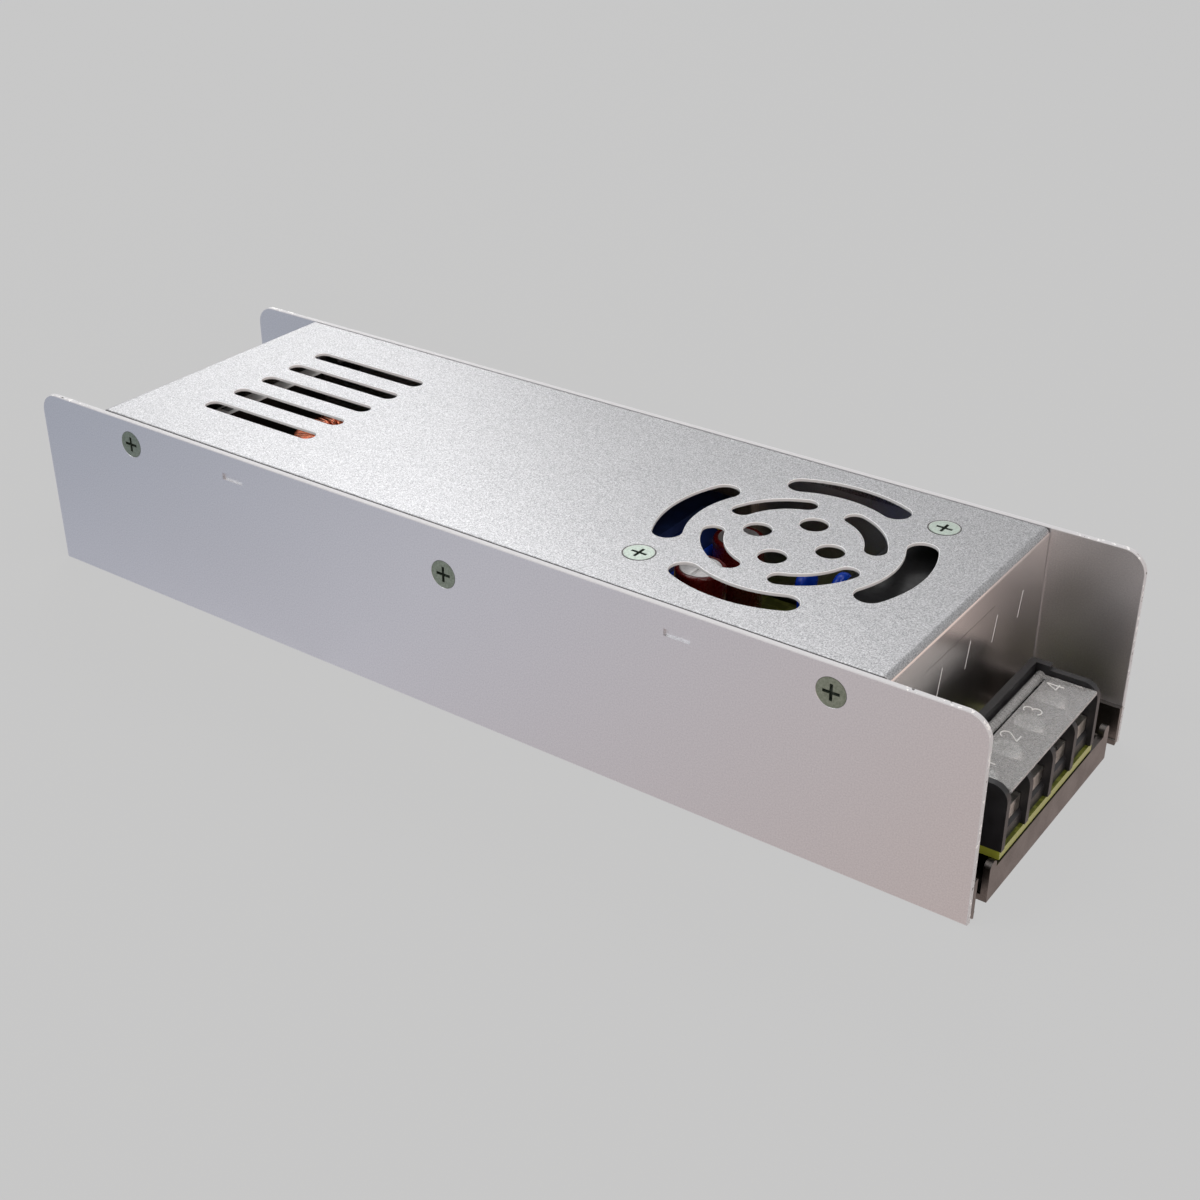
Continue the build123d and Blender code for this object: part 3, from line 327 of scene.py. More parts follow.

# Screw recesses are painted dark, painted shade, and a painted shadow darkens the seam that rings
# each top screw
recessShade = {"tone": "#3C463D", "depth": 2.4, "topFace": 39.9, "sideFace": 32.9, "seamShade": "#3A3938",
          "seamRadius": 2.93, "seamHalfWidth": 0.19, "screws": [(35.9, -19.5), (75.9, 20.5)]}
for finish, axis, face in (("brightZincScrew", "Z", "topFace"),
                           ("oliveZincSteel", "Y", "sideFace")):
    tree = finishes[finish].node_tree
    level = axes(tree, "Object", signs=False)[axis]
    middle = recessShade[face] - recessShade["depth"] / 2
    mask = maskWhere(tree, (level, "COMPARE", middle * mm, recessShade["depth"] / 2 * mm))
    repaint(finishes[finish], mask, recessShade["tone"])
cover = finishes["tumbledAluminiumCover"]
tree = cover.node_tree
coords = addNode(tree, "ShaderNodeTexCoord").outputs["Object"]
# painted shadow in the seam between each top screw's head and the cover
for x, y in recessShade["screws"]:
    away = addNode(tree, "ShaderNodeVectorMath", {0: coords, 1: (x * mm, y * mm, cadBox[1][2])},
                   operation="DISTANCE").outputs["Value"]
    mask = maskWhere(tree, (away, "COMPARE", recessShade["seamRadius"] * mm,
                            recessShade["seamHalfWidth"] * mm))
    repaint(cover, mask, recessShade["seamShade"])

# Punched slots and grille: a painted highlight on their sheared and rolled-over edges, which are
# painted pale and not metallic
slotEdgeHighlight = {"tone": "#F6F6F7", "reachX": 88.0, "reachY": 30.5, "flatFrom": 0.97}
off, facing = axes(tree, "Object", signs=False), axes(tree, "True Normal", signs=False)
mask = maskWhere(tree, (facing["Z"], "LESS_THAN", slotEdgeHighlight["flatFrom"]),
                 (off["X"], "LESS_THAN", slotEdgeHighlight["reachX"] * mm),
                 (off["Y"], "LESS_THAN", slotEdgeHighlight["reachY"] * mm))
repaint(cover, mask, slotEdgeHighlight["tone"])

# The gap between the cover's long folds and the plates is in shadow
fold = {"tone": "#3C3C3E", "fromY": 30.9, "fromZ": 38.4, "toZ": 39.9, "sideways": 0.45,
        "reachX": 91.5}
mask = maskWhere(tree, (facing["Y"], "GREATER_THAN", fold["sideways"]),
                 (off["X"], "LESS_THAN", fold["reachX"] * mm),
                 (off["Y"], "GREATER_THAN", fold["fromY"] * mm),
                 (off["Z"], "GREATER_THAN", fold["fromZ"] * mm),
                 (off["Z"], "LESS_THAN", fold["toZ"] * mm))
repaint(cover, mask, fold["tone"])

# The end wall behind the output terminals is painted paler than the top, painted light, and is
# glossier; it has one leaning scratch by each pole and a fine line above them
wallMarks = {"fromX": 91.7, "pitch": 10.93, "start": 21.6, "lean": 0.235, "leanFrom": 31.7,
             "halfWidth": 0.17, "middle": 29.15, "halfHeight": 2.55, "middleY": 5.2,
             "halfReach": 17.5, "lineHeight": 34.2, "lineHalfWidth": 0.06, "lineMiddleY": -4.3,
             "lineReach": 13.4, "scratch": "#FFFFFF", "line": "#5C5653", "litWallTone": "#F4F0EE",
             "wallRough": 0.23}
place = axes(tree, "Object")
onWall = (place["X"], "GREATER_THAN", wallMarks["fromX"] * mm)
mask = maskWhere(tree, onWall)
base, roughness = (shaderOf(cover).inputs[name] for name in ("Base Color", "Roughness"))
smoother = addNode(tree, "ShaderNodeMix", {0: mask, 2: roughness.links[0].from_socket,
                                           3: wallMarks["wallRough"]})
tree.links.new(smoother.outputs[0], roughness)
tree.links.new(layered(tree, base.links[0].from_socket, (mask, wallMarks["litWallTone"])), base)
rise = addNode(tree, "ShaderNodeMath", {0: place["Z"], 1: wallMarks["leanFrom"] * mm},
               operation="SUBTRACT").outputs[0]
lean = addNode(tree, "ShaderNodeMath", {0: rise, 1: -wallMarks["lean"], 2: place["Y"]},
               operation="MULTIPLY_ADD").outputs[0]
# the scratches repeat with the pitch; ten pitches more keep every value above zero
shifted = addNode(tree, "ShaderNodeMath",
                  {0: lean, 1: (10 * wallMarks["pitch"] - wallMarks["start"]) * mm},
                  operation="ADD").outputs[0]
away = addNode(tree, "ShaderNodeMath", {0: shifted, 1: wallMarks["pitch"] / 2 * mm},
               operation="PINGPONG").outputs[0]
mask = maskWhere(
    tree, (away, "LESS_THAN", wallMarks["halfWidth"] * mm),
    (place["Z"], "COMPARE", wallMarks["middle"] * mm, wallMarks["halfHeight"] * mm),
    (lean, "COMPARE", wallMarks["middleY"] * mm, wallMarks["halfReach"] * mm), onWall)
repaint(cover, mask, wallMarks["scratch"])
mask = maskWhere(
    tree, (place["Z"], "COMPARE", wallMarks["lineHeight"] * mm, wallMarks["lineHalfWidth"] * mm),
    (place["Y"], "COMPARE", wallMarks["lineMiddleY"] * mm, wallMarks["lineReach"] * mm), onWall)
repaint(cover, mask, wallMarks["line"])

# Inrush resistor: the side of its ceramic trough that faces the choke is painted black, painted
# shade
sideShade = {"tone": "#0C0B0B", "sideways": 0.8}
tree = finishes["firedWhiteCeramic"].node_tree
mask = maskWhere(tree, (axes(tree, "True Normal")["X"], "GREATER_THAN", sideShade["sideways"]))
repaint(finishes["firedWhiteCeramic"], mask, sideShade["tone"])

# Glass laminate board: olive lacquer on its faces, yellow green glass at its cut edges
boardLook = {"dark": "#4C5219", "pale": "#646B27", "edge": "#A0A73C", "edgeFacing": 0.5,
             "rough": 0.34, "weave": 0.6, "depth": 0.01, "coat": 0.4, "track": 2.2,
             "trackTone": "#747B34", "trackFrom": 0.42}
material, tree, coords = startMaterial("lacqueredGlassLaminate")
weave = addNode(tree, "ShaderNodeTexNoise",
                {"Vector": coords, "Scale": 1 / (boardLook["weave"] * mm),
                 "Detail": 2.0}).outputs["Fac"]
tracks = addNode(tree, "ShaderNodeTexVoronoi",
                 {"Vector": coords, "Scale": 1 / (boardLook["track"] * mm)},
                 distance="CHEBYCHEV", feature="F1").outputs["Distance"]
tracks = maskWhere(tree, (tracks, "GREATER_THAN", boardLook["trackFrom"]))
upright = axes(tree, "Normal", signs=False)["Z"]
cutEdge = maskWhere(tree, (upright, "LESS_THAN", boardLook["edgeFacing"]))
tone = layered(tree, boardLook["dark"], (weave, boardLook["pale"]),
               (tracks, boardLook["trackTone"]), (cutEdge, boardLook["edge"]))
finishes[material.name] = endMaterial(material, weave, boardLook["depth"], {
    "Base Color": tone, "Roughness": boardLook["rough"], "Coat Weight": boardLook["coat"]})

# Polyester tape wound round the coil: bright blue sides, the top painted navy as painted shade,
# pale margins
tapeLook = {"dark": "#1B4CE4", "pale": "#2F66FF", "top": "#22346E", "topFacing": 0.5,
            "margin": "#C9B35A", "middleY": 7.0, "marginFrom": 9.4, "layer": 1.1,
            "depth": 0.03, "rough": 0.26}
material, tree, coords = startMaterial("polyesterCoilTape")
across = addNode(tree, "ShaderNodeMath",
                 {0: axes(tree, "Object")["Y"], 1: tapeLook["middleY"] * mm},
                 operation="SUBTRACT").outputs[0]
across = addNode(tree, "ShaderNodeMath", {0: across}, operation="ABSOLUTE").outputs[0]
layers = addNode(tree, "ShaderNodeTexNoise",
                 {"Vector": coords, "Scale": 1 / (tapeLook["layer"] * mm),
                  "Detail": 1.0}).outputs["Fac"]
shadedTop = maskWhere(tree, (axes(tree, "Normal")["Z"], "GREATER_THAN", tapeLook["topFacing"]))
margin = maskWhere(tree, (across, "GREATER_THAN", tapeLook["marginFrom"] * mm))
tone = layered(tree, tapeLook["dark"], (layers, tapeLook["pale"]), (shadedTop, tapeLook["top"]),
               (margin, tapeLook["margin"]))
finishes[material.name] = endMaterial(material, layers, tapeLook["depth"], {
    "Base Color": tone, "Roughness": tapeLook["rough"]})

# Fuse: glazed ceramic tube with a plated cap at each end
fuseLook = {"tube": "#E6E0D2", "cap": "#CFCDC6", "middleX": -62.0, "capFrom": 5.0,
            "rough": 0.26, "mottle": 0.7, "depth": 0.005}
material, tree, coords = startMaterial("cappedCeramicTube")
along = addNode(tree, "ShaderNodeMath",
                {0: axes(tree, "Object")["X"], 1: fuseLook["middleX"] * mm},
                operation="SUBTRACT").outputs[0]
along = addNode(tree, "ShaderNodeMath", {0: along}, operation="ABSOLUTE").outputs[0]
cap = maskWhere(tree, (along, "GREATER_THAN", fuseLook["capFrom"] * mm))
mottle = addNode(tree, "ShaderNodeTexNoise",
                 {"Vector": coords, "Scale": 1 / (fuseLook["mottle"] * mm),
                  "Detail": 2.0}).outputs["Fac"]
finishes[material.name] = endMaterial(material, mottle, fuseLook["depth"], {
    "Base Color": layered(tree, fuseLook["tube"], (cap, fuseLook["cap"])), "Metallic": cap,
    "Roughness": fuseLook["rough"]})

# Polycarbonate flap: part of the light passes, the skin is frosted and speckled; its raised
# numbers are painted paler and pass less light, a painted highlight on the strokes
clearLooks = {
    "frostedPolycarbonateFlap": {"dark": "#D0D2D3", "pale": "#FFFFFF", "speckle": 0.34,
                                 "through": 0.72, "ior": 1.58, "rough": (0.08, 0.16),
                                 "depth": 0.008},
    "paintedLitPolycarbonateNumber": {"dark": "#F0F2F3", "pale": "#FFFFFF", "speckle": 0.50,
                                    "through": 0.15, "ior": 1.58, "rough": (0.10, 0.16),
                                    "depth": 0.008},
}
for name, look in clearLooks.items():
    material, tree, coords = startMaterial(name)
    speckle = addNode(tree, "ShaderNodeTexNoise",
                      {"Vector": coords, "Scale": 1 / (look["speckle"] * mm),
                       "Detail": 2.0}).outputs["Fac"]
    spread = addNode(tree, "ShaderNodeMapRange", {"Value": speckle, **noiseSpan})
    low, high = look["rough"]
    rough = addNode(tree, "ShaderNodeMapRange",
                    {"Value": speckle, **noiseSpan, "To Min": low, "To Max": high})
    finishes[name] = endMaterial(material, speckle, look["depth"], {
        "Base Color": layered(tree, look["dark"], (spread.outputs["Result"], look["pale"])),
        "Roughness": rough.outputs["Result"], "IOR": look["ior"],
        "Transmission Weight": look["through"]})
print("stage:", len(finishes), "finishes made")

# Which finish each node of the frame gets
finishOf = {
    "rolledAluminiumPlate": ["side_plate_front", "side_plate_back"],
    "tumbledAluminiumCover": ["top_cover"],
    "rolledAluminiumTray": ["base_tray"],
    "sawnAluminiumBar": ["heat_spreader_front", "heat_spreader_back"],
    "oliveZincSteel": ["side_screws"],
    "brightZincScrew": ["top_screws"],
    "brightZincSteel": ["press_nuts", "board_screws", "output_clamp_washers",
                        "input_clamp_washers"],
    "tinnedBrass": ["output_contacts", "input_contacts", "fuse_clips"],
    "nickelledBrass": ["board_standoffs"],
    "enamelledCopperWire": ["choke_winding"],
    "mouldedPolyamideBlock": ["output_terminal_block", "input_terminal_block", "choke_base"],
    "mouldedEpoxyPackage": ["power_transistors", "output_rectifiers", "bridge_rectifier",
                            "control_chips"],
    "tapedFerrite": ["transformer_core"],
    "sinteredFerrite": ["choke_core"],
    "pouredPotting": ["output_choke"],
    "polyesterFilm": ["insulating_film"],
    "dippedBlueLacquer": ["blue_disc_capacitors", "varistor"],
    "mouldedNavyBox": ["film_capacitor"],
    "firedWhiteCeramic": ["inrush_resistor"],
    "resistorCement": ["resistor_cement"],
    "shrunkRedSleeve": ["bulk_capacitors", "output_capacitors"],
    "lacqueredGlassLaminate": ["circuit_board", "control_card"],
    "polyesterCoilTape": ["transformer_coil"],
    "cappedCeramicTube": ["fuse"],
    "frostedPolycarbonateFlap": ["output_terminal_flap", "input_terminal_flap"],
}
# the terminal screws get the zinc painted nearly white, painted light
finishOf["paintedLitZincScrew"] = [name for name in nodes if "_screw_" in name]
for finish, names in finishOf.items():
    for name in names:
        nodes[name].data.materials.clear()
        nodes[name].data.materials.append(finishes[finish])
print("stage: every node has its finish:",
      sum(len(names) for names in finishOf.values()) == len(nodes))


def addPiece(name, points, faces, finish, body):
    # a new mesh piece at the origin, doubles merged, smooth, riding on a body
    mesh = bpy.data.meshes.new(name)
    mesh.from_pydata(points.tolist(), [], faces.tolist())
    work = bmesh.new()
    work.from_mesh(mesh)
    bmesh.ops.remove_doubles(work, verts=work.verts, dist=mergeWithin)
    work.to_mesh(mesh)
    work.free()
    mesh.validate()
    mesh.polygons.foreach_set("use_smooth", np.ones(len(mesh.polygons), bool))
    mesh.materials.append(finishes[finish])
    piece = bpy.data.objects.new(name, mesh)
    inScene.link(piece)
    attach(piece, body)
    return piece


def gridFaces(rows, columns, closedRows=False):
    # quads of a grid whose columns close on themselves; the rows do too if asked
    row = np.arange(rows if closedRows else rows - 1)[:, None]
    column = np.arange(columns)[None, :]
    here = row * columns
    beyond = (row + 1) % rows * columns
    right = (column + 1) % columns
    quads = [here + column, here + right, beyond + right, beyond + column]
    return np.stack(quads, -1).reshape(-1, 4)


def joined(parts):
    # several (points, faces) made one, each part's faces counted on from the points before it
    starts = np.cumsum([0] + [len(points) for points, _ in parts])
    return (np.concatenate([points for points, _ in parts]),
            np.concatenate([faces + start for (_, faces), start in zip(parts, starts)]))


def alongLine(line):  # how far along a line of points each point lies
    return np.concatenate([[0], np.cumsum(np.linalg.norm(np.diff(line, axis=0), axis=1))])


def turnedSurface(profile, places, steps, closedProfile=False, score=None):
    # each profile point (r, z) goes round the upright axis: (r cos a, r sin a, z); where a score
    # is given, z sinks by depth * exp(-(distance to the nearer cross line / width)^2) on the top
    angle = np.arange(steps) / steps * 2 * np.pi
    r, z = profile[:, :1], profile[:, 1:]
    x, y = r * np.cos(angle), r * np.sin(angle)
    z = z + 0 * angle
    if score:
        nearer = np.minimum(np.abs(x), np.abs(y))
        fade = np.clip((score["reach"] - r) / score["width"], 0, 1) * (z > score["above"])
        z = z - score["depth"] * fade * np.exp(-(nearer / score["width"]) ** 2)
    one = np.stack([x, y, z], -1).reshape(-1, 3)
    quads = gridFaces(len(profile), steps, closedProfile)
    points, faces = joined([(one + np.array(place), quads) for place in places])
    return points * mm, faces


def sweptTube(path, normals, radius, sides, neck=0.75):
    # a ring of the given radius at each path point, square to the path: point + radius * (cos *
    # normal + sin * side); the first and last rings shrink to nothing, which closes the ends, and
    # the rings next to them to the neck's share
    along = np.gradient(path, axis=0)
    along /= np.linalg.norm(along, axis=1, keepdims=True)
    side = np.cross(along, normals)
    side /= np.linalg.norm(side, axis=1, keepdims=True)
    out = np.cross(side, along)
    angle = np.arange(sides) / sides * 2 * np.pi
    size = np.full(len(path), radius)
    size[[0, -1]] = 0
    size[[1, -2]] = neck * radius
    ring = (out[:, None] * np.cos(angle)[None, :, None]
            + side[:, None] * np.sin(angle)[None, :, None])
    points = path[:, None] + size[:, None, None] * ring
    return points.reshape(-1, 3), gridFaces(len(path), sides)


# Copper wire round the ring core, every other turn in a second layer inside the ring
winding = {"centre": (-54.0, 1.5), "middleHeight": 21.7, "ringRadius": 8.825,
           "halfWidth": 2.225, "halfHeight": 9.85, "round": 0.9, "cornerPoints": 7,
           "wireRadius": 0.52, "turns": 56, "pointsPerTurn": 48, "sides": 8,
           "secondLayer": 1.7}
wire = winding["wireRadius"]
halfX, halfZ = winding["halfWidth"] + wire, winding["halfHeight"] + wire
bend = winding["round"] + wire
# the section's outline is its rounded corners joined up, spread evenly along its length
quarter = np.linspace(0, np.pi / 2, winding["cornerPoints"])
corners = [(halfX - bend, halfZ - bend, 0), (bend - halfX, halfZ - bend, 1),
           (bend - halfX, bend - halfZ, 2), (halfX - bend, bend - halfZ, 3)]
outline = np.concatenate([
    np.stack([x + bend * np.cos(quarter + k * np.pi / 2),
              z + bend * np.sin(quarter + k * np.pi / 2)], -1) for x, z, k in corners])
outline = np.concatenate([[[halfX, 0]], outline, [[halfX, 0]]])
run = alongLine(outline)
turn = np.arange(winding["turns"] * winding["pointsPerTurn"] + 1) / winding["pointsPerTurn"]
reach = (turn % 1) * run[-1]
offX, offZ = np.interp(reach, run, outline[:, 0]), np.interp(reach, run, outline[:, 1])
slope = np.gradient(outline, axis=0)
outX, outZ = np.interp(reach, run, slope[:, 1]), np.interp(reach, run, -slope[:, 0])
# every other turn moves out by the second layer: sideways by the square of how far it lies on
# the ring's inner side, and up or down as well by the fourth power of its height
second = (np.floor(turn) % 2) * np.clip(-offX / halfX, 0, 1) ** 2 * winding["secondLayer"] * wire
offX = offX - second
offZ = offZ + np.sign(offZ) * second * np.clip(np.abs(offZ) / halfZ, 0, 1) ** 4
spin = turn / winding["turns"] * 2 * np.pi
ring = winding["ringRadius"] + offX
path = np.stack([winding["centre"][0] + ring * np.cos(spin),
                 winding["centre"][1] + ring * np.sin(spin),
                 winding["middleHeight"] + offZ], -1)
outward = np.stack([outX * np.cos(spin), outX * np.sin(spin), outZ], -1)
points, faces = sweptTube(path, outward, wire, winding["sides"])
piece = addPiece("chokeWindingWire", points * mm, faces, "enamelledCopperWire", "case")
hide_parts("choke_winding")
print("stage: winding of", winding["turns"], "turns")

# Can capacitors: a pressed can with a scored top, a shrunk sleeve that folds over its rim.
# groove, foot, rimRound, lap and scoreReach are shares of the radius
cans = {
    "output": {"radius": 5.0, "height": 22.0,
               "places": [(37.8, -16.5), (37.8, -1.7), (37.3, 12.7)]},
    "bulk": {"radius": 9.0, "height": 27.0, "places": [(-23.5, -10.5), (-23.5, 10.5)]},
}
canShape = {"board": 7.9, "sleeve": 0.15, "groove": 0.08, "foot": 0.33, "rimRound": 0.11,
            "lap": 0.80, "lapStep": 0.3, "lapMiddle": 0.05, "lapThick": 0.14, "rimGap": 0.1,
            "dish": 0.35, "scoreWidth": 0.28, "scoreDepth": 0.22, "scoreReach": 0.62,
            "scoreBelow": 1.0, "bendRows": 8, "waistRows": 9, "topRows": 26, "steps": 96}
for group, can in cans.items():
    radius, height = can["radius"], can["height"]
    inner, lap = radius - canShape["sleeve"], canShape["lap"] * radius
    dip, foot = canShape["groove"] * radius, canShape["foot"] * radius
    bend, gap, step = canShape["rimRound"] * radius, canShape["rimGap"], canShape["lapStep"]
    arc = np.linspace(0, np.pi / 2, canShape["bendRows"])
    waist = np.linspace(0, 1, canShape["waistRows"])
    # wall: up from the foot, in and out again at the rolled groove, then up to the rim
    waistZ, waistIn = foot + waist * 2 * dip, dip * np.sin(waist * np.pi) ** 2
    rimR, rimZ = -bend + bend * np.cos(arc), height - bend + bend * np.sin(arc)
    floorRows = [(0, 0), (inner - dip, 0), (inner, dip)]
    wallRows = [(inner - w, z) for w, z in zip(waistIn, waistZ)]
    rimRows = [(inner + r - gap, z - gap) for r, z in zip(rimR, rimZ)]
    lipRows = [(lap, height - gap)]
    topRows = [(r, height - canShape["dish"])
               for r in np.linspace(lap - step, 0, canShape["topRows"])]
    profile = np.array(floorRows + wallRows + rimRows + lipRows + topRows)
    places = [(x, y, canShape["board"]) for x, y in can["places"]]
    score = {"reach": canShape["scoreReach"] * radius, "width": canShape["scoreWidth"],
             "depth": canShape["scoreDepth"], "above": height - canShape["scoreBelow"]}
    points, faces = turnedSurface(profile, places, canShape["steps"], score=score)
    piece = addPiece(group + "CapacitorCans", points, faces, "pressedAluminiumCan", "case")
    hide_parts(group + "_capacitors")
    outerRows = [(radius - w, z) for w, z in zip(waistIn, waistZ)]
    foldRows = [(radius + r, z) for r, z in zip(rimR, rimZ)]
    lapRows = [(lap + step, height), (lap, height - canShape["lapMiddle"]),
               (lap + step, height - canShape["lapThick"])]
    backRows = [(inner + r, z - canShape["sleeve"]) for r, z in zip(rimR[::-1], rimZ[::-1])]
    profile = np.array(outerRows + foldRows + lapRows + backRows + wallRows[::-1])
    points, faces = turnedSurface(profile, places, canShape["steps"], closedProfile=True)
    addPiece(group + "CapacitorSleeves", points, faces, "shrunkRedSleeve", "case")
print("stage: capacitors")

# Disc capacitors and varistor: lens shaped lacquer drops on their two leads
discs = {
    "blueDiscDrops": {"node": "blue_disc_capacitors", "slot": "blue_lacquer",
                      "places": [(52.3, 13.1, 24.2), (57.3, 18.1, 22.6)], "radius": 3.1},
    "varistorDrop": {"node": "varistor", "slot": "varistor_lacquer",
                     "places": [(-47.0, -21.5, 19.9)], "radius": 5.0},
}
discShape = {"halfThickness": 1.7, "power": 0.7, "board": 7.9, "leadRadius": 0.4,
             "leadSpacing": 5.0, "leadSteps": 12, "leadSides": 8, "rows": 40, "steps": 48}
for name, disc in discs.items():
    # a squashed ball: (-half thickness * sign(cos b) * |cos b|^power, radius * sin b * cos a,
    # radius * sin b * sin a)
    b = np.linspace(0, np.pi, discShape["rows"])[:, None]
    a = np.arange(discShape["steps"])[None, :] / discShape["steps"] * 2 * np.pi
    thick = -np.sign(np.cos(b)) * np.abs(np.cos(b)) ** discShape["power"]
    thick = thick * discShape["halfThickness"] + 0 * a
    ball = np.stack([thick, disc["radius"] * np.sin(b) * np.cos(a),
                     disc["radius"] * np.sin(b) * np.sin(a)], -1).reshape(-1, 3)
    ballFaces = gridFaces(discShape["rows"], discShape["steps"])
    parts = []
    for x, y, z in disc["places"]:
        parts.append((ball + np.array([x, y, z]), ballFaces))
        for side in (-1, 1):
            leadY = y + side * discShape["leadSpacing"] / 2
            path = np.linspace((x, leadY, discShape["board"]), (x, leadY, z),
                               discShape["leadSteps"])
            normals = np.tile([1.0, 0.0, 0.0], (len(path), 1))
            parts.append(sweptTube(path, normals, discShape["leadRadius"],
                                   discShape["leadSides"]))
    points, faces = joined(parts)
    piece = addPiece(name, points * mm, faces, "dippedBlueLacquer", "case")
    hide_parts(disc["node"])
print("stage: disc capacitors")

# Pole numbers: thin rounded strokes moulded on the flaps, read from each end of the case.
# A block is its name, its end of the case, the middle of its poles in Y, and their count
numbers = {"height": 3.3, "width": 2.0, "strokeRadius": 0.13, "step": 0.07, "sides": 8,
           "arcPoints": 24, "flapTop": 19.6, "fromMiddle": 103.0, "aside": 1.0, "pitch": 9.5,
           "blocks": [("output", 1, -2.2, 4), ("input", -1, 0.0, 3)]}


def arcPoints(centre, radius, start, end):  # points of an arc, angles in degrees
    angle = np.radians(np.linspace(start, end, numbers["arcPoints"]))
    return np.stack([centre[0] + radius * np.cos(angle), centre[1] + radius * np.sin(angle)], -1)


strokes = {
    1: np.array([(0.45, 2.55), (1.15, 3.3), (1.15, 0.0)]),
    2: np.concatenate([arcPoints((1.0, 2.35), 0.95, 165, -35), [(0.05, 0.0), (2.0, 0.0)]]),
    3: np.concatenate([arcPoints((0.95, 2.5), 0.8, 150, -75),
                       arcPoints((0.95, 0.95), 0.95, 75, -150)]),
    4: np.array([(1.45, 0.0), (1.45, 3.3), (0.0, 1.05), (2.0, 1.05)]),
}
for block, end, across, poles in numbers["blocks"]:
    parts = []
    for number in range(1, poles + 1):
        stroke = strokes[number]
        run = alongLine(stroke)
        even = np.linspace(0, run[-1], int(run[-1] / numbers["step"]))
        u = np.interp(even, run, stroke[:, 0]) - numbers["width"] / 2
        v = np.interp(even, run, stroke[:, 1]) - numbers["height"] / 2
        pole = (number - 1 - (poles - 1) / 2) * numbers["pitch"]
        path = np.stack([end * (numbers["fromMiddle"] - v),
                         across + end * (pole + numbers["aside"] + u),
                         np.full(len(u), numbers["flapTop"])], -1)
        normals = np.tile([0.0, 0.0, 1.0], (len(path), 1))
        parts.append(sweptTube(path, normals, numbers["strokeRadius"], numbers["sides"]))
    points, faces = joined(parts)
    addPiece(block + "FlapNumbers", points * mm, faces, "paintedLitPolycarbonateNumber",
             block + "_flap")
print("stage: pole numbers")

# Terminal blocks and washers: merged copies of the frame's own, with their sharp edges eased
eased = {"output_terminal_block": ("outputBlockMoulding", 0.22, "block_plastic"),
         "input_terminal_block": ("inputBlockMoulding", 0.22, "block_plastic"),
         "output_clamp_washers": ("outputWasherPlates", 0.12, "zinc_steel"),
         "input_clamp_washers": ("inputWasherPlates", 0.12, "zinc_steel")}
easing = {"sharpFrom": math.radians(35), "flatWithin": math.radians(1), "segments": 2}
for node, (name, width, slot) in eased.items():
    work = bmesh.new()
    work.from_mesh(nodes[node].data)
    bmesh.ops.remove_doubles(work, verts=work.verts, dist=mergeWithin)
    bmesh.ops.dissolve_limit(work, angle_limit=easing["flatWithin"], verts=work.verts,
                             edges=work.edges)
    points = np.array([vert.co for vert in work.verts])
    faces = [[vert.index for vert in face.verts] for face in work.faces]
    work.free()
    mesh = bpy.data.meshes.new(name)
    mesh.from_pydata(points.tolist(), [], faces)
    mesh.materials.append(nodes[node].data.materials[0])
    piece = bpy.data.objects.new(name, mesh)
    inScene.link(piece)
    bevel = piece.modifiers.new("easedEdges", "BEVEL")
    bevel.width = width * mm
    bevel.segments = easing["segments"]
    bevel.limit_method = "ANGLE"
    bevel.angle_limit = easing["sharpFrom"]
    bevel.use_clamp_overlap = True
    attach(piece, "case")
    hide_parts(node)
print("stage: eased terminal blocks")

# Floor and room: camera and mirror rays see an even pale grey, the floor keeps the object's
# shadow. To mirror rays the floor drifts from cool at the left to warm at the right: a drift is
# where it starts and ends in X, in metres, and the tone it ends in
studio = {"grey": "#C8C8C8", "floorSide": 6.0, "floorGlow": 0.90, "floorRough": 0.9,
          "floorSpecular": 0.1, "roomLevel": 0.80, "leftFloor": "#AFB5C3",
          "drifts": [(-0.18, -0.03, "#D2D1D9"), (-0.03, 0.12, "#CFBEB8"),
                     (0.12, 0.20, "#F2DED4")]}


def seenRays(tree):
    # the kinds of ray, and 1 for those of the camera, of mirrors and through clear plastic
    rays = addNode(tree, "ShaderNodeLightPath").outputs
    seen = rays["Is Camera Ray"]
    for kind in ("Is Glossy Ray", "Is Transmission Ray"):
        seen = addNode(tree, "ShaderNodeMath", {0: seen, 1: rays[kind]},
                       operation="MAXIMUM").outputs[0]
    return rays, seen


half = studio["floorSide"] / 2
floorMesh = bpy.data.meshes.new("floor")
floorMesh.from_pydata([(-half, -half, 0), (half, -half, 0), (half, half, 0), (-half, half, 0)],
                      [], [(0, 1, 2, 3)])
floor = bpy.data.objects.new("floor", floorMesh)
inScene.link(floor)
material, tree, coords = startMaterial("palePaintedFloor")
rays, seen = seenRays(tree)
glow = addNode(tree, "ShaderNodeMath", {0: seen, 1: studio["floorGlow"]}, operation="MULTIPLY")
paint = addNode(tree, "ShaderNodeBsdfPrincipled",
                {"Base Color": linear(studio["grey"]), "Roughness": studio["floorRough"],
                 "Specular IOR Level": studio["floorSpecular"]})
along = addNode(tree, "ShaderNodeSeparateXYZ", {0: coords}).outputs["X"]
coats = [(addNode(tree, "ShaderNodeMapRange",
                  {"Value": along, "From Min": start, "From Max": end}).outputs["Result"], tone)
         for start, end, tone in studio["drifts"]]
drift = layered(tree, studio["leftFloor"], *coats, (rays["Is Camera Ray"], studio["grey"]))
light = addNode(tree, "ShaderNodeEmission", {"Color": drift, "Strength": 1.0})
both = addNode(tree, "ShaderNodeMixShader",
               {0: glow.outputs[0], 1: paint.outputs["BSDF"], 2: light.outputs["Emission"]})
addNode(tree, "ShaderNodeOutputMaterial", {"Surface": both.outputs["Shader"]})
floorMesh.materials.append(material)

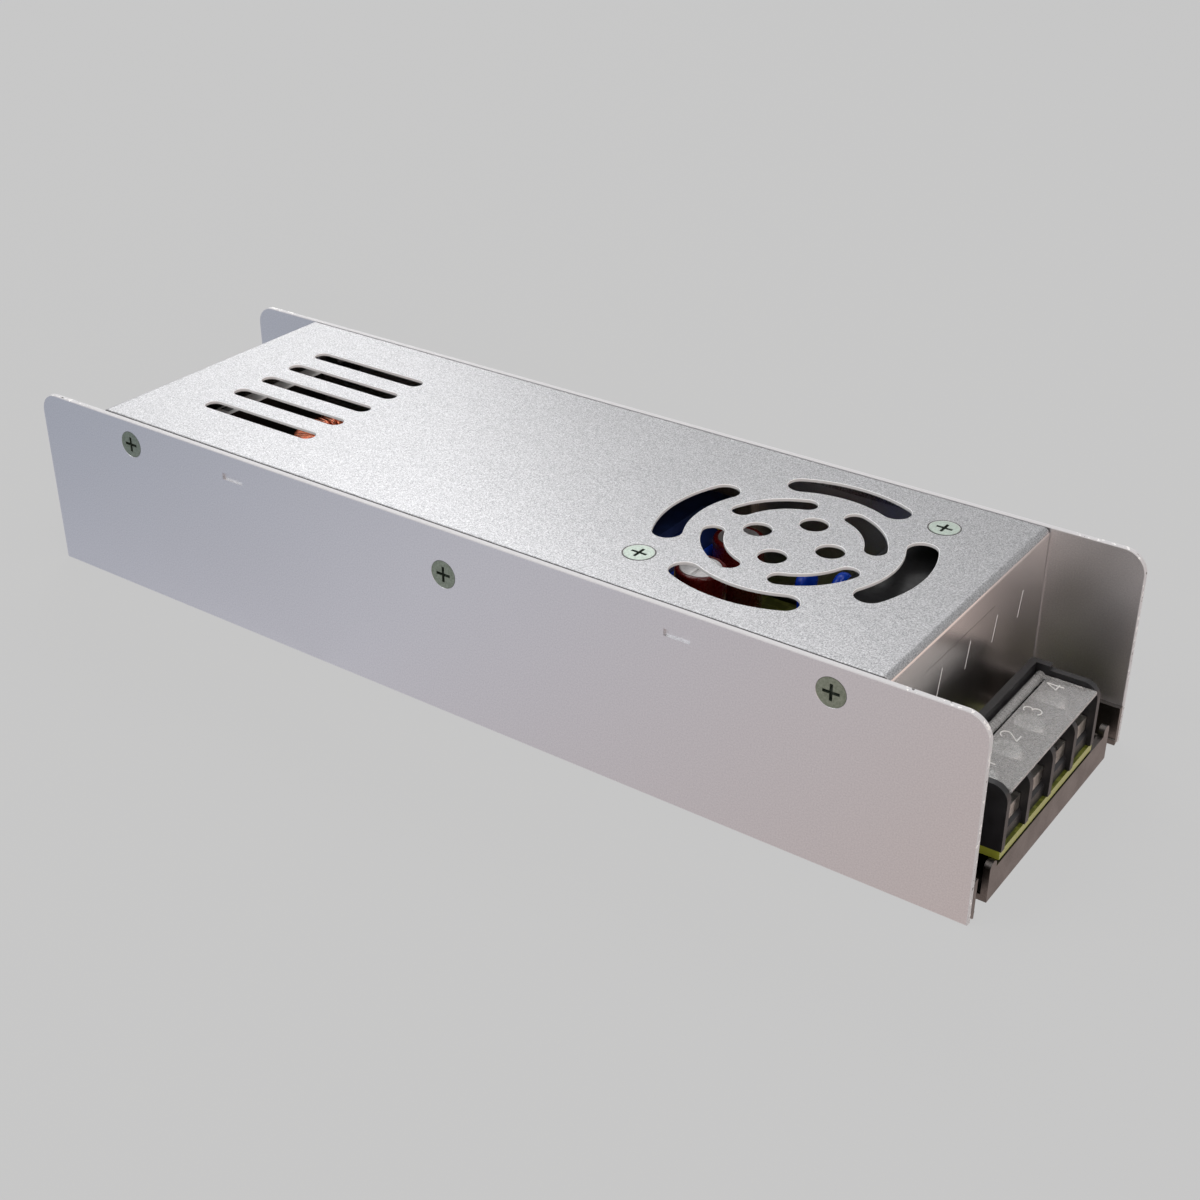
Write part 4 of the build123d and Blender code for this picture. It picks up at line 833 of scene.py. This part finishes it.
world = bpy.data.worlds.new("studio")
bpy.context.scene.world = world
world.use_nodes = True
tree = world.node_tree
tree.nodes.clear()
level = addNode(tree, "ShaderNodeMapRange",
                {"Value": seenRays(tree)[1], "To Min": studio["roomLevel"], "To Max": 1.0})
room = addNode(tree, "ShaderNodeBackground",
               {"Color": linear(studio["grey"]), "Strength": level.outputs["Result"]})
addNode(tree, "ShaderNodeOutputWorld", {"Surface": room.outputs["Background"]})

# Lamps: the cover mirrors three boxes behind it at the left, placed by a fit to its brightness in
# the photograph; the rim box whitens edges that face the camera; the overhead box and the warm
# fill reach down into the open end
lamps = {
    "keySoftBox": {"place": (-0.72, 0.61, 0.74), "size": 0.40, "watts": 1.21,
                   "colour": "#FFFFFF"},
    "lowSoftBox": {"place": (-0.90, 0.75, 0.25), "size": 0.40, "watts": 0.61,
                   "colour": "#FFFFFF"},
    "highSoftBox": {"place": (-0.39, 0.67, 0.92), "size": 0.40, "watts": 1.47,
                    "colour": "#FFFFFF"},
    "rimSoftBox": {"place": (-0.55, -0.60, 0.90), "size": 0.60, "watts": 3.0,
                   "colour": "#FFFFFF"},
    "overheadBox": {"place": (0.50, -0.10, 1.10), "size": 0.70, "watts": 3.0,
                    "colour": "#FFF4EC"},
    "warmFill": {"place": (1.3, -0.8, 0.5), "size": 0.8, "watts": 3.0, "colour": "#FFE0D0"},
}
target = Vector((0, 0, 0.02))  # the middle of the case
for name, lamp in lamps.items():
    data = bpy.data.lights.new(name, "AREA")
    data.size = lamp["size"]
    data.energy = lamp["watts"]
    data.color = linear(lamp["colour"])[:3]
    item = bpy.data.objects.new(name, data)
    item.location = lamp["place"]
    item.rotation_euler = (target - Vector(lamp["place"])).to_track_quat("-Z", "Y").to_euler()
    inScene.link(item)

# The camera was solved from the photograph's own edges; place and near are in metres
view = {"place": (0.19194, -0.24956, 0.18790), "azimuth": 35.58, "elevation": 29.56,
        "roll": -0.11, "lens": 53.17, "sensor": 36.0, "near": 0.01}
azimuth, elevation, roll = (math.radians(view[key]) for key in ("azimuth", "elevation", "roll"))
back = Vector((math.cos(elevation) * math.sin(azimuth), -math.cos(elevation) * math.cos(azimuth),
               math.sin(elevation)))
right = Vector((math.cos(azimuth), math.sin(azimuth), 0))
right = right * math.cos(roll) + back.cross(right) * math.sin(roll)
cameraData = bpy.data.cameras.new("camera")
cameraData.sensor_width = view["sensor"]
cameraData.lens = view["lens"]
cameraData.clip_start = view["near"]
camera = bpy.data.objects.new("camera", cameraData)
turned = Matrix((right, back.cross(right), back)).transposed().to_4x4()
camera.matrix_world = Matrix.Translation(Vector(view["place"])) @ turned
inScene.link(camera)
bpy.context.scene.camera = camera
bpy.context.scene.view_settings.view_transform = "Standard"
print("stage: floor, lamps and camera set")

bpy.context.view_layer.update()
